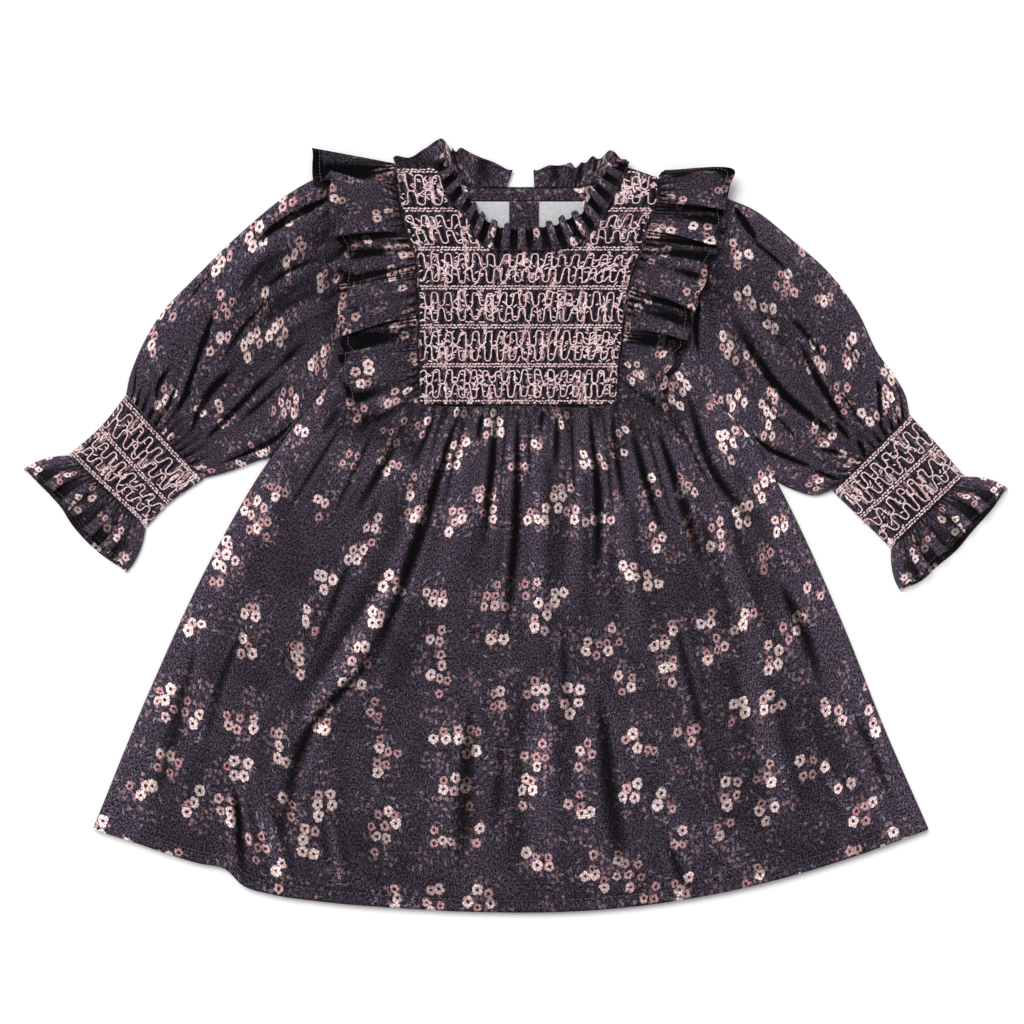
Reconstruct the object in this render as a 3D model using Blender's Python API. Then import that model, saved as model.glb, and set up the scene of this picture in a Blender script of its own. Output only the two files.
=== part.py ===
# Child's long-sleeved dress with a smocked chest, laid flat and face up.
# World axes: +X to the wearer's left, +Y towards the neck, +Z up from the surface it lies on.
# Lengths below are millimetres and turn into metres when a mesh is made.
import math

import bmesh
import bpy
import numpy as np

MM = 0.001

# Driving sizes.
CLOTH = 1.2                # wall of flat pieces and of the lower layers
TOP_CLOTH = 1.5            # wall of the puffed upper layers, measured upright
FRILL_CLOTH = 1.2          # wall of every frill
GAP = 0.4                  # between two pieces at a seam
LAYER_GAP = 0.3            # between two layers that lie on each other
BACK_INSET = 3.4           # the back skirt lies this far inside the front's side edge
HEM_INSET = 2.5            # and this far inside its hem
EDGE_ROLL = 3.0            # width over which the front skirt turns down at a side seam
PANEL_UNDER = 3.0          # underside of the smocked panel
PANEL_WALL = 1.3           # its plain wall below the raised pleats
PLEAT_HIGH = 1.5           # height of a smocking pleat between two stitched lines
PANEL_PLEATS = 31
CUFF_PLEATS = 15
STITCH_LINE = 25.0         # distance between two stitched lines on the panel
FRILL_SEAM_HIGH = 3.9      # middle of a frill's wall where it is sewn in
CLOTH_COLOUR = (0.040, 0.034, 0.048, 1.0)
THREAD_COLOUR = (0.62, 0.40, 0.43, 1.0)
LINING_COLOUR = (0.60, 0.60, 0.60, 1.0)

# Outlines, each a row per point: x, y.
WAIST = [(-118, 100), (-106.5, 92), (-91, 85), (-63.5, 79), (0, 78), (66, 79), (82, 84),
         (95, 92), (111, 106.5)]
HEM = [(-279, -200.5), (-255, -208), (-208.5, -223), (-192, -226.5), (-179, -238),
       (-162.5, -243), (-129.5, -248), (-76.5, -252.5), (-24, -255), (29, -255), (82, -251),
       (134.5, -242.5), (187.5, -229.5), (227, -217), (272, -200.5)]
SKIRT_LEFT = [(-118, 100), (-139.5, 74), (-160.5, 46), (-201.5, -23.5), (-241.5, -109),
              (-279, -200.5)]
SKIRT_RIGHT = [(111, 106.5), (129.5, 85.5), (157.5, 54.5), (172.5, 27.5), (214.5, -63),
               (243.5, -135.5), (272, -200.5)]
PANEL_TOP = [(-79, 237.5), (-54, 236.5), (0, 236), (74, 235), (93, 228.5)]
PANEL_BOTTOM = [(-63.5, 79.2), (0, 78.8), (66, 79.2)]
PANEL_LEFT = [(-79, 237.5), (-76.5, 214), (-71.5, 193), (-66, 178), (-64, 148), (-63.5, 115),
              (-63.5, 79.2)]
PANEL_RIGHT = [(93, 228.5), (93, 214), (87, 199.5), (82, 181), (76.5, 166.5), (72.5, 148),
               (69.5, 122), (67.5, 105.5), (66, 79.2)]
NECKLINE = [(-54, 243), (-49.5, 228.5), (-45.5, 217), (-39.5, 209.5), (-32.5, 203),
            (-28.5, 195), (-24, 187), (-16, 182), (7.5, 181), (30.5, 182), (39, 184), (45, 188),
            (51, 194.5), (56, 202.5), (60.5, 209.5), (64.5, 217), (68, 224), (72, 232.5),
            (75, 243)]
ARMHOLE_LEFT = -111.0      # x of the left armhole seam
ARMHOLE_RIGHT = 108.0      # x of the right armhole seam
SHOULDER = 236.0           # y of the left shoulder seam
BACK_NECK = 220.5          # y of the back bodice at its neck seam
OPENING_X = 11.75          # the back opening runs down from the neck along this x
OPENING_END = 120.0        # down to this y
OPENING_WIDE = 0.9

# Skirt folds, a row each: from x, y, by x, y, to x, y, half width there and here, height.
SKIRT_FOLDS = [
    (-115, 78, -123, 66, -130, 56, 5, 6, -1.8),
    (-69, 77, -86, 42, -108, 2, 5, 9, -2.4),
    (-53, 74, -60, 56, -70, 36, 4, 5, -1.5),
    (-38, 74, -64, -8, -95, -96, 6, 12, -3.6),
    (-95, -89, -132, -129, -158, -219, 10, 16, -2.2),
    (-22, 75, -24, 62, -25, 48, 4, 4, -1.8),
    (-13, 75, -17, 25, -23, -23, 5, 8, -3.0),
    (1, 76, 0, 3, -8, -86, 5, 9, -3.0),
    (18, 76, 17, 68, 16, 56, 4, 4, -1.5),
    (27, 75, 27, 56, 26, 33, 4, 6, -2.0),
    (48, 75, 54, 16, 53, -43, 5, 9, -3.0),
    (63, 75, 66, 46, 73, 3, 5, 7, -2.2),
    (74, 72, 85, 29, 99, -14, 5, 8, -3.0),
    (92, 66, 110, 13, 125, -37, 6, 9, -3.0),
    (98, 82, 106, 64, 115, 46, 5, 5, -1.6),
    (112, 90, 129, 36, 159, -4, 6, 10, -2.6),
    (174, -38, 191, -76, 203, -116, 10, 12, -1.5),
    (-70, -23, -120, -104, -160, -215, 10, 16, 2.2),
    (-50, 62, -77, -23, -95, -56, 7, 9, 1.6),
    (-30, 69, -40, 3, -57, -76, 8, 12, 1.4),
    (13, 69, 13, -10, 9, -103, 8, 13, 1.4),
    (40, 69, 40, 3, 36, -76, 7, 11, 1.3),
    (63, 56, 72, -23, 82, -103, 7, 12, 1.3),
    (121, 36, 148, -50, 174, -129, 9, 14, 1.5),
    (-209, -76, -228, -142, -248, -202, 12, 18, -1.2),
    (-30, -116, -34, -182, -40, -251, 12, 18, -1.2),
    (55, -109, 62, -175, 72, -250, 12, 16, -1.3),
    (148, -76, 168, -155, 187, -227, 12, 16, 1.4),
    (16, -109, 16, -182, 19, -253, 14, 18, 1.2),
    (220, -116, 240, -162, 253, -205, 12, 14, -1.0),
    (-185, -175, -182, -208, -179, -238, 8, 10, -1.5),
    (-168, -182, -159, -215, -152, -243, 8, 10, 1.5),
]
SKIRT_GATHERS = 22         # small gathers along the waist seam

# Sleeve sections, a row each: upper edge x, y, lower edge x, y, height of the crown.
# None in the lower edge means that it follows the skirt's side at the share given instead.
LEFT_SLEEVE = [
    (-112.5, 234, -112.5, 109, 3.4),
    (-132.5, 228, None, 0.0, 4.6),
    (-153, 216, None, 0.045, 7.5),
    (-174, 199, None, 0.10, 9.0),
    (-193.5, 181, None, 0.15, 10.0),
    (-212.5, 162, None, 0.195, 10.0),
    (-232.5, 141, -170.5, 42, 10.0),
    (-245.5, 120, -182, 37.5, 9.5),
    (-254, 100, -194, 33.5, 8.0),
    (-257.2, 85.8, -206, 30.6, 6.2),
]
RIGHT_SLEEVE = [
    (109.5, 228, 109.5, 114, 3.4),
    (138.5, 215.5, None, 0.0, 4.6),
    (159.5, 206, None, 0.06, 7.5),
    (183, 187, None, 0.12, 9.0),
    (206.5, 166, None, 0.18, 10.0),
    (225, 141, None, 0.235, 10.0),
    (237.5, 115, None, 0.285, 10.0),
    (248, 100.5, 185.5, 22, 9.5),
    (256.5, 86, 197.5, 19.2, 8.0),
    (259.2, 73.4, 208.6, 22.8, 6.2),
]
LEFT_SLEEVE_FOLDS = [
    (-122, 215, -159, 193, -180, 173, 6, 7, -4),
    (-139, 132, -158, 117, -176, 101, 7, 8, -4.5),
    (-174, 102, -192, 85, -205, 69, 6, 5, -2.5),
    (-117, 118, -143, 80, -176, 52, 7, 6, -4),
    (-170, 50, -185, 46, -205, 41, 4, 3, -2.5),
    (-198, 140, -214, 114, -235, 94, 6, 8, -2.5),
    (-225, 85, -233, 77, -240, 69, 4, 3, -2.2),
    (-215, 74, -211, 66, -209, 58, 6, 6, -2.5),
    (-242, 122, -249, 104, -248, 82, 3, 3, -1.8),
    (-125, 207, -182, 165, -205, 118, 8, 9, 2.6),
    (-205, 118, -218, 92, -232, 72, 7, 5, 1.8),
    (-148, 112, -176, 83, -207, 58, 7, 6, 2.4),
    (-123, 148, -149, 135, -182, 109, 9, 9, 1.5),
]
RIGHT_SLEEVE_FOLDS = [
    (143, 209, 151, 196, 162, 181, 6, 6, -3.2),
    (146, 173, 152, 165, 159, 157, 6, 6, -2.5),
    (149, 118, 168, 94, 187, 69, 6, 6, -4.2),
    (187, 69, 201, 62, 217, 60, 5, 4, -2),
    (121, 148, 119, 128, 121, 109, 5, 5, -3),
    (132, 90, 151, 62, 171, 31, 6, 5, -4),
    (199, 51, 209, 48, 219, 43, 4, 3, -2.2),
    (209, 68, 215, 61, 222, 52, 4, 3, -2),
    (224, 56, 228, 49, 232, 41, 4, 3, -2.4),
    (237, 97, 239, 79, 240, 58, 5, 4, -2),
    (248, 97, 253, 83, 255, 69, 4, 3, -2.2),
    (195, 36, 205, 33, 217, 28, 3, 3, -2),
    (141, 148, 164, 122, 187, 89, 8, 8, 2),
    (161, 204, 201, 161, 227, 122, 10, 10, 1.6),
    (129, 115, 151, 85, 171, 56, 6, 6, 1.5),
]

# Cuffs, a row per stitched line: upper edge x, y, lower edge x, y, height.
LEFT_CUFF = [(-257.5, 85, -206, 30, 5.8), (-272, 66.5, -226.5, 16, 6.2), (-294.5, 46, -244, -1.5, 5.4)]
RIGHT_CUFF = [(259.5, 72.5, 209, 22, 5.8), (278, 52.5, 227, 4.5, 6.2), (295.5, 32, 247, -15, 5.4)]

# Cuff frills: the seam's two ends, and the free edge from tip to tip, x, y.
LEFT_CUFF_SEAM = [(-294.9, 45.6), (-244.5, -1.9)]
LEFT_CUFF_EDGE = [(-324, 36.5), (-316, 28), (-308, 20), (-299, 9.5), (-294.5, 2), (-285, -9.5),
                  (-276.5, -17.5), (-257, -31)]
RIGHT_CUFF_SEAM = [(295.9, 31.6), (247.4, -15.4)]
RIGHT_CUFF_EDGE = [(323.5, 24), (315.5, 12), (301, -4.5), (290.5, -17), (278, -27.5),
                   (267.5, -37), (253.5, -43)]
CUFF_FRILL_WAVES = 6

# Shoulder frills, a row for each turn of the cloth: seam x, y, free edge x, y, height there.
LEFT_SHOULDER_FRILL = [
    (-80.5, 237.9, -134.6, 247.8, 6.5),
    (-79.2, 236.0, -134.6, 236.5, 6.2),
    (-78.5, 233.4, -131.5, 223.5, 6.4),
    (-77.9, 226.0, -126.0, 226.8, 9.8),
    (-77.2, 219.0, -122.0, 232.0, 14.0),
    (-75.9, 211.5, -121.4, 217.5, 14.4),
    (-73.9, 204.9, -122.1, 199.7, 13.5),
    (-71.3, 196.4, -122.1, 189.1, 12.5),
    (-69.3, 192.4, -118.8, 190.4, 7.0),
    (-67.3, 187.8, -115.5, 184.5, 6.5),
    (-65.3, 177.2, -112.9, 171.9, 8.5),
    (-64.7, 169.3, -109.6, 158.7, 7.5),
    (-64.7, 165.3, -111.5, 156.1, 8.5),
    (-64.0, 162.0, -114.8, 154.8, 11.5),
    (-64.0, 156.1, -116.2, 146.8, 12.5),
    (-64.0, 148.2, -114.8, 133.7, 12.0),
    (-63.4, 140.9, -113.5, 123.8, 10.5),
    (-63.4, 137.0, -110.2, 127.1, 7.0),
    (-63.4, 132.3, -110.2, 123.8, 6.5),
    (-63.4, 125.7, -109.6, 115.2, 8.0),
    (-63.4, 119.8, -112.9, 112.5, 10.0),
    (-63.4, 115.2, -116.8, 109.9, 11.5),
    (-63.4, 107.2, -116.8, 99.3, 12.0),
    (-63.4, 99.3, -112.2, 85.5, 11.5),
    (-64.0, 91.4, -108.2, 74.2, 11.0),
    (-64.7, 84.8, -104.3, 64.4, 10.0),
]
RIGHT_SHOULDER_FRILL = [
    (93.1, 230.0, 97.7, 232.7, 9.0),
    (93.4, 228.0, 121.4, 234.0, 12.0),
    (93.7, 226.1, 141.2, 232.7, 12.5),
    (93.7, 220.8, 140.6, 222.1, 13.0),
    (93.1, 215.5, 138.6, 206.9, 12.5),
    (91.1, 210.9, 136.0, 208.2, 7.0),
    (89.1, 206.2, 137.3, 203.6, 6.5),
    (87.8, 202.3, 136.0, 194.4, 9.5),
    (85.8, 197.0, 130.7, 183.2, 12.0),
    (83.8, 192.4, 129.4, 185.8, 7.0),
    (82.5, 186.5, 132.0, 181.2, 6.5),
    (80.5, 178.5, 126.7, 169.3, 9.0),
    (78.5, 170.6, 122.1, 154.8, 11.5),
    (75.9, 161.4, 117.5, 140.9, 12.5),
    (74.6, 155.4, 114.2, 142.9, 7.0),
    (73.9, 150.2, 116.2, 137.6, 6.5),
    (72.6, 142.2, 114.2, 129.7, 9.0),
    (70.6, 133.7, 110.2, 121.1, 11.5),
    (70.0, 128.4, 106.3, 123.1, 7.0),
    (69.3, 123.1, 107.6, 117.8, 6.5),
    (68.6, 116.5, 104.3, 109.9, 9.5),
    (68.6, 109.9, 100.3, 99.3, 11.5),
    (68.0, 103.3, 97.0, 87.5, 12.0),
    (67.3, 96.7, 93.1, 77.5, 11.0),
]

# Neck frill: front part between the neckline and this free edge, then the two back parts.
NECK_FRILL_EDGE = [(-38.5, 226), (-31.5, 218), (-26.5, 211), (-20.5, 201.5), (-13, 197),
                   (-2, 196.5), (9, 197), (19, 197), (26.5, 197.5), (33.5, 202.5), (42, 207.5),
                   (45.5, 214), (50, 221), (55.5, 227.5)]
NECK_FRILL_WAVES = 13
BACK_FRILL_LEFT = [
    (-6.5, 222.3, -2, 234, 2.5),
    (-14, 222.3, -12.5, 237.5, 4.2),
    (-21, 222.3, -22.5, 242.5, 2.2),
    (-29, 223.2, -33, 246.5, 5.0),
    (-34.5, 225.8, -40.5, 247, 1.6),
    (-39.5, 229, -44, 248, 3.0),
    (-45, 233, -49.5, 255, 7.0),
    (-53, 238, -60, 248.5, 6.0),
    (-63.5, 239, -68.5, 243.5, 3.5),
    (-76.5, 239.6, -80, 241.5, 2.6),
]
BACK_FRILL_RIGHT = [
    (12, 222.3, 11.5, 234, 2.5),
    (19, 222.3, 20.5, 236, 4.4),
    (25, 222.3, 26.5, 237.5, 2.0),
    (31.5, 222.3, 33.5, 237.5, 4.6),
    (39, 222.3, 40.5, 236.5, 1.6),
    (46, 223.2, 49, 241, 4.4),
    (51.5, 225, 56, 242.5, 2.0),
    (57, 227.5, 62, 247, 7.0),
    (63.5, 231.5, 68, 243, 6.0),
    (69.5, 236.5, 73, 238, 4.0),
]
BACK_FRILL_SEAM_HIGH = 2.6

# Flat pieces seen through the neck: low corner x, y, high corner x, y, underside, thickness.
NECK_PLATES = {
    "lining_left": (-37, 184.5, 11.4, 212.9, 1.5, 1.0),
    "lining_right": (12.1, 184.5, 50, 212.9, 1.5, 1.0),
    "neckband_left": (-33, 213.4, 11.4, 221.6, 1.5, 1.4),
    "neckband_right": (12.1, 213.4, 45.5, 221.6, 1.5, 1.4),
    "placket_left": (-4.5, 191.5, 11.4, 213.0, 2.8, 1.0),
    "placket_right": (12.1, 191.5, 15, 213.0, 2.8, 1.0),
}


def start_clean():
    """Remove every object, mesh and material that is in the file."""
    for item in list(bpy.data.objects):
        bpy.data.objects.remove(item, do_unlink=True)
    for stored in (bpy.data.meshes, bpy.data.materials):
        for item in list(stored):
            stored.remove(item)


def make_material(name, colour, roughness):
    material = bpy.data.materials.new(name)
    material.use_nodes = True
    shader = material.node_tree.nodes["Principled BSDF"]
    shader.inputs["Base Color"].default_value = colour
    shader.inputs["Roughness"].default_value = roughness
    shader.inputs["Metallic"].default_value = 0.0
    material.diffuse_color = colour
    return material


def smooth(table, share, even=False):
    """Read a soft curve through the table's rows at shares 0 to 1 of its length."""
    rows = np.asarray(table, float)
    if even:
        knots = np.linspace(0.0, 1.0, len(rows))
    else:
        steps = np.hypot(np.diff(rows[:, 0]), np.diff(rows[:, 1]))
        knots = np.concatenate([[0.0], np.cumsum(steps)]) / steps.sum()
    slopes = np.gradient(rows, knots, axis=0)
    share = np.clip(np.asarray(share, float), 0.0, 1.0)
    low = np.clip(np.searchsorted(knots, share, side="right") - 1, 0, len(knots) - 2)
    span = (knots[low + 1] - knots[low])[..., None]
    u = (share - knots[low])[..., None] / span
    start, end = rows[low], rows[low + 1]
    leave, arrive = slopes[low] * span, slopes[low + 1] * span
    return (start * (2 * u**3 - 3 * u**2 + 1) + leave * (u**3 - 2 * u**2 + u)
            + end * (3 * u**2 - 2 * u**3) + arrive * (u**3 - u**2))


def ease(value):
    """Turn 0 to 1 into a soft step."""
    value = np.clip(value, 0.0, 1.0)
    return value * value * (3 - 2 * value)


def patch(top, bottom, left, right, across, down):
    """Fill four edge curves with a grid of plan points, rows running down."""
    s = across[None, :, None]
    t = down[:, None, None]
    over, under = smooth(top, across)[None], smooth(bottom, across)[None]
    port, starboard = smooth(left, down)[:, None], smooth(right, down)[:, None]
    corners = ((1 - s) * (1 - t) * over[:, :1] + s * (1 - t) * over[:, -1:]
               + (1 - s) * t * under[:, :1] + s * t * under[:, -1:])
    return (1 - t) * over + t * under + (1 - s) * port + s * starboard - corners


def fold_heights(x, y, table):
    """Add up the soft troughs and ridges of a fold table at plan points."""
    height = np.zeros_like(x)
    for x0, y0, x1, y1, x2, y2, half, end_half, high in table:
        line = smooth([(x0, y0), (x1, y1), (x2, y2)], np.linspace(0, 1, 13))
        nearest = np.full_like(x, 1e9)
        along = np.zeros_like(x)
        for k in range(len(line) - 1):
            step = line[k + 1] - line[k]
            part = ((x - line[k, 0]) * step[0] + (y - line[k, 1]) * step[1]) / (step @ step)
            part = np.clip(part, 0.0, 1.0)
            away = np.hypot(x - line[k, 0] - part * step[0], y - line[k, 1] - part * step[1])
            along = np.where(away < nearest, (k + part) / (len(line) - 1), along)
            nearest = np.minimum(nearest, away)
        width = half + (end_half - half) * along
        profile = np.cos(np.clip(nearest / width, 0, 1) * math.pi / 2) ** 2
        fade = ease(along / 0.12 + 0.25) * ease((1 - along) / 0.4 + 0.1)
        height += high * profile * fade
    return height


def mesh_object(name, points, faces, material, flat=False):
    """Make one object in world metres from millimetre points."""
    mesh = bpy.data.meshes.new(name)
    mesh.from_pydata([tuple(MM * c for c in p) for p in points], [], faces)
    mesh.materials.append(material)
    made = bpy.data.objects.new(name, mesh)
    bpy.context.collection.objects.link(made)
    work = bmesh.new()
    work.from_mesh(mesh)
    bmesh.ops.recalc_face_normals(work, faces=work.faces)
    work.to_mesh(mesh)
    work.free()
    if not flat:
        mesh.shade_smooth()
    return made


def sheet_wall(name, top, under, material):
    """Close a wall between two grids of points that have the same rows and columns."""
    rows, columns = top.shape[:2]
    count = rows * columns
    faces = []
    for r in range(rows - 1):
        for c in range(columns - 1):
            a = r * columns + c
            b = a + columns
            faces.append((a, a + 1, b + 1, b))
            faces.append((count + a, count + b, count + b + 1, count + a + 1))
    rim = [c for c in range(columns)]
    rim += [r * columns + columns - 1 for r in range(1, rows)]
    rim += [(rows - 1) * columns + c for c in range(columns - 2, -1, -1)]
    rim += [r * columns for r in range(rows - 2, 0, -1)]
    for k, a in enumerate(rim):
        b = rim[(k + 1) % len(rim)]
        faces.append((a, count + a, count + b, b))
    points = np.concatenate([top.reshape(-1, 3), under.reshape(-1, 3)])
    return mesh_object(name, points, faces, material)


def tube_wall(name, outer, inner, material):
    """Close a wall between two stacks of rings; the inner stack may have fewer rings."""
    ring = outer.shape[1]
    faces = []
    starts = (0, len(outer) * ring)
    for stack, start in zip((outer, inner), starts):
        for r in range(len(stack) - 1):
            for c in range(ring):
                a = start + r * ring + c
                b = start + r * ring + (c + 1) % ring
                faces.append((a, b, b + ring, a + ring))
    for r_out, r_in in ((0, 0), (len(outer) - 1, len(inner) - 1)):
        for c in range(ring):
            a = r_out * ring + c
            b = r_out * ring + (c + 1) % ring
            d = starts[1] + r_in * ring + c
            e = starts[1] + r_in * ring + (c + 1) % ring
            faces.append((a, b, e, d))
    points = np.concatenate([outer.reshape(-1, 3), inner.reshape(-1, 3)])
    return mesh_object(name, points, faces, material)


def plate(name, outline, under, thick, material):
    """Raise a flat outline to a plate."""
    count = len(outline)
    points = [(x, y, under) for x, y in outline] + [(x, y, under + thick) for x, y in outline]
    faces = [tuple(range(count)), tuple(range(count, 2 * count))]
    for k in range(count):
        faces.append((k, (k + 1) % count, count + (k + 1) % count, count + k))
    return mesh_object(name, points, faces, material, flat=True)


def cut(target, outline, low, high):
    """Cut a plan outline straight through an object."""
    cutter = plate(target.name + "_cutter", outline, low, high - low, target.data.materials[0])
    cutter.hide_render = True
    cutter.display_type = "WIRE"
    boolean = target.modifiers.new("opening", "BOOLEAN")
    boolean.operation = "DIFFERENCE"
    boolean.solver = "EXACT"
    boolean.object = cutter


def shifted(outline, by):
    """Move each point of a plan curve square to it, by a distance to the left of its run."""
    points = np.asarray(outline, float)[:, :2]
    run = np.gradient(points, axis=0)
    run /= np.hypot(run[:, 0], run[:, 1])[:, None]
    return points + by * np.stack([-run[:, 1], run[:, 0]], axis=1)


# Skirt.
def skirt_top_height(plan, s, t):
    """Height of the front skirt's upper face over its plan grid."""
    x, y = plan[..., 0], plan[..., 1]
    across, down = np.meshgrid(s, t)
    edge = np.minimum(np.hypot(x - plan[:, :1, 0], y - plan[:, :1, 1]),
                      np.hypot(x - plan[:, -1:, 0], y - plan[:, -1:, 1]))
    below = np.hypot(x - plan[:1, :, 0], y - plan[:1, :, 1])
    pressed = 1 - 0.75 * ease((np.abs(x) - 56) / 14) * ease((46 - below) / 22)
    fall = np.exp(-below / (20 + 10 * np.sin(31 * across + 0.7)))
    size = 1.5 + 0.5 * np.sin(19 * across + 1.0)
    gathers = size * fall * np.cos(2 * math.pi * (SKIRT_GATHERS * across + 0.35 * np.sin(23 * across)))
    fullness = 1.2 + 1.8 * ease(below / 30) - 0.9 * ease((below - 150) / 150)
    height = 3.2 + pressed * (fullness + gathers + fold_heights(x, y, SKIRT_FOLDS))
    height = np.maximum(height, 3.0 + 0.15 * fullness)
    roll = ease(edge / 9.0)
    return np.where(edge < 0.5, TOP_CLOTH + 0.1, 3.0 + (height - 3.0) * roll)


def skirt_front(material):
    inner = 1 - 2 * EDGE_ROLL / 230
    across = np.concatenate([[0.0], (1 - inner) / 2 + inner * np.linspace(0, 1, 65), [1.0]])
    down = np.array([0, 0.018, 0.045, 0.085, 0.135, 0.20, 0.28, 0.37, 0.48, 0.60, 0.72, 0.84, 0.93, 1.0])
    plan = patch(WAIST, HEM, SKIRT_LEFT, SKIRT_RIGHT, across, down)
    for side, step in ((0, 1), (-1, -2)):
        toward = plan[:, step] - plan[:, side]
        toward /= np.hypot(toward[:, 0], toward[:, 1])[:, None]
        plan[:, step] = plan[:, side] + EDGE_ROLL * toward
    top = np.dstack([plan, skirt_top_height(plan, across, down)])
    under = top - np.array([0, 0, TOP_CLOTH])
    under[:, 0, 2] = 0.0
    under[:, -1, 2] = 0.0
    top[:, 0, 2] = TOP_CLOTH
    top[:, -1, 2] = TOP_CLOTH
    return sheet_wall("skirt_front", top, under, material)


def skirt_back(material):
    share = np.linspace(0, 1, 19)
    left = shifted(smooth(SKIRT_LEFT, share), BACK_INSET)
    right = shifted(smooth(SKIRT_RIGHT, share), -BACK_INSET)
    hem = smooth(HEM, np.linspace(0.01, 0.99, 29)) + np.array([0, HEM_INSET])
    waist = smooth(WAIST, np.linspace(0.04, 0.96, 15)) - np.array([0, 0.2])
    hem = [p for p in hem if left[-1][0] + 3 < p[0] < right[-1][0] - 3]
    left[-1][1] += HEM_INSET
    right[-1][1] += HEM_INSET
    outline = list(left) + hem + list(right[::-1]) + list(waist[::-1])
    outline = [p for p in outline if p[1] < 120]
    return plate("skirt_back", outline, 0.0, CLOTH, material)


# Bodice.
def pleat_height(x_share, y):
    """Raised smocking: upright pleats pinched flat at each stitched line."""
    line = (y - PANEL_BOTTOM[0][1]) / STITCH_LINE
    puff = np.sin(math.pi * (line - np.floor(line))) ** 2
    ridge = 0.5 + 0.5 * np.cos(2 * math.pi * PANEL_PLEATS * x_share)
    return PLEAT_HIGH * (0.35 + 0.65 * puff) * ridge


def smocked_panel(material):
    columns = 2 * PANEL_PLEATS + 1
    across = np.linspace(0, 1, columns)
    half_lines = np.arange(0, 159, STITCH_LINE / 2)
    down = np.concatenate([[0.0], 1 - half_lines[::-1] / 158.3])
    down = np.unique(np.clip(down, 0, 1))
    plan = patch(PANEL_TOP, PANEL_BOTTOM, PANEL_LEFT, PANEL_RIGHT, across, down)
    share = np.meshgrid(across, down)[0]
    height = PANEL_UNDER + PANEL_WALL + pleat_height(share, plan[..., 1])
    rows = len(down)
    top = np.dstack([plan, height])
    faces = []
    for r in range(rows - 1):
        for c in range(columns - 1):
            a = r * columns + c
            faces.append((a, a + 1, a + columns + 1, a + columns))
    rim = [c for c in range(columns)]
    rim += [r * columns + columns - 1 for r in range(1, rows)]
    rim += [(rows - 1) * columns + c for c in range(columns - 2, -1, -1)]
    rim += [r * columns for r in range(rows - 2, 0, -1)]
    points = [tuple(p) for p in top.reshape(-1, 3)]
    first = len(points)
    points += [(points[k][0], points[k][1], PANEL_UNDER) for k in rim]
    for k, a in enumerate(rim):
        b = rim[(k + 1) % len(rim)]
        faces.append((a, first + k, first + (k + 1) % len(rim), b))
    faces.append(tuple(range(first, first + len(rim))))
    made = mesh_object("bodice_front_smocked", points, faces, material)
    outline = list(smooth(NECKLINE, np.linspace(0, 1, 41)))
    outline += [(90, 262), (-90, 262)]
    cut(made, outline, PANEL_UNDER - 2, PANEL_UNDER + 6)
    return made


def side_front(name, armhole, panel_edge, waist_part, material):
    """Plain front piece between the smocked panel and the armhole."""
    tuck = 4.0 if armhole < 0 else -4.0
    inner = smooth(panel_edge, np.linspace(0.02, 0.95, 12)) + np.array([tuck, 0])
    lower = smooth(WAIST, np.linspace(*waist_part, 8)) + np.array([0, 0.9])
    outline = [tuple(p) for p in inner]
    outline += [tuple(p) for p in lower[::-1]]
    outline += [(armhole, 113), (armhole, inner[0][1] - 1.0)]
    return plate(name, outline, CLOTH + LAYER_GAP, CLOTH, material)


def bodice_back(material):
    waist = smooth(WAIST, np.linspace(0.015, 0.985, 21)) + np.array([0, 0.5])
    outline = [(ARMHOLE_LEFT, 113), (ARMHOLE_LEFT, SHOULDER), (-79, 237), (-58, 236), (-46, 229.5),
               (-38, BACK_NECK + 1.5), (-32, BACK_NECK), (46, BACK_NECK), (54, 223.5), (63, 228), (72, 234),
               (93, 228), (ARMHOLE_RIGHT, 227), (ARMHOLE_RIGHT, 114)]
    outline += [tuple(p) for p in waist[::-1]]
    made = plate("bodice_back", outline, 0.0, CLOTH, material)
    half = OPENING_WIDE / 2
    cut(made, [(OPENING_X - half, OPENING_END), (OPENING_X + half, OPENING_END),
               (OPENING_X + half, 260), (OPENING_X - half, 260)], -2, 4)
    return made


# Sleeves and cuffs.
def flat_tube(top_edge, low_edge, crown, across, under_across, add, thick, inner_rows=None):
    """Rings of a tube that lies flat: a raised upper layer over a flat lower one."""
    rows = len(crown)
    ring = len(across) + len(under_across)
    outer = np.zeros((rows, ring, 3))
    inner = np.zeros((rows, ring, 3))
    width = np.hypot(*(low_edge - top_edge).T)
    for r in range(rows):
        inset = thick / width[r]
        for c in range(ring):
            upper = c < len(across)
            w = across[c] if upper else under_across[c - len(across)]
            w_in = inset + (1 - 2 * inset) * w
            for grid, share in ((outer, w), (inner, w_in)):
                grid[r, c, :2] = top_edge[r] + (low_edge[r] - top_edge[r]) * share
            outer[r, c, 2] = 0.0
            inner[r, c, 2] = CLOTH
            if upper:
                bell = (1 - abs(2 * w - 1) ** 4) ** 0.5
                outer[r, c, 2] = 1.5 + (crown[r] - 1.5) * bell
    upper_count = len(across)
    x, y = outer[:, :upper_count, 0], outer[:, :upper_count, 1]
    window = np.minimum(1, np.minimum(across, 1 - across)[None, :] * width[:, None] / 7.0)
    outer[:, :upper_count, 2] += add(x, y) * window
    low_limit = CLOTH + LAYER_GAP + thick
    inside = slice(1, upper_count - 1)
    outer[:, inside, 2] = np.maximum(outer[:, inside, 2], low_limit)
    inner[:, inside, 2] = np.maximum(outer[:, inside, 2] - thick, CLOTH + LAYER_GAP)
    inner[:, 0, 2] = CLOTH + 0.15
    inner[:, upper_count - 1, 2] = CLOTH + 0.15
    if inner_rows is not None:
        inner = inner[inner_rows]
    return outer, inner


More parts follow.
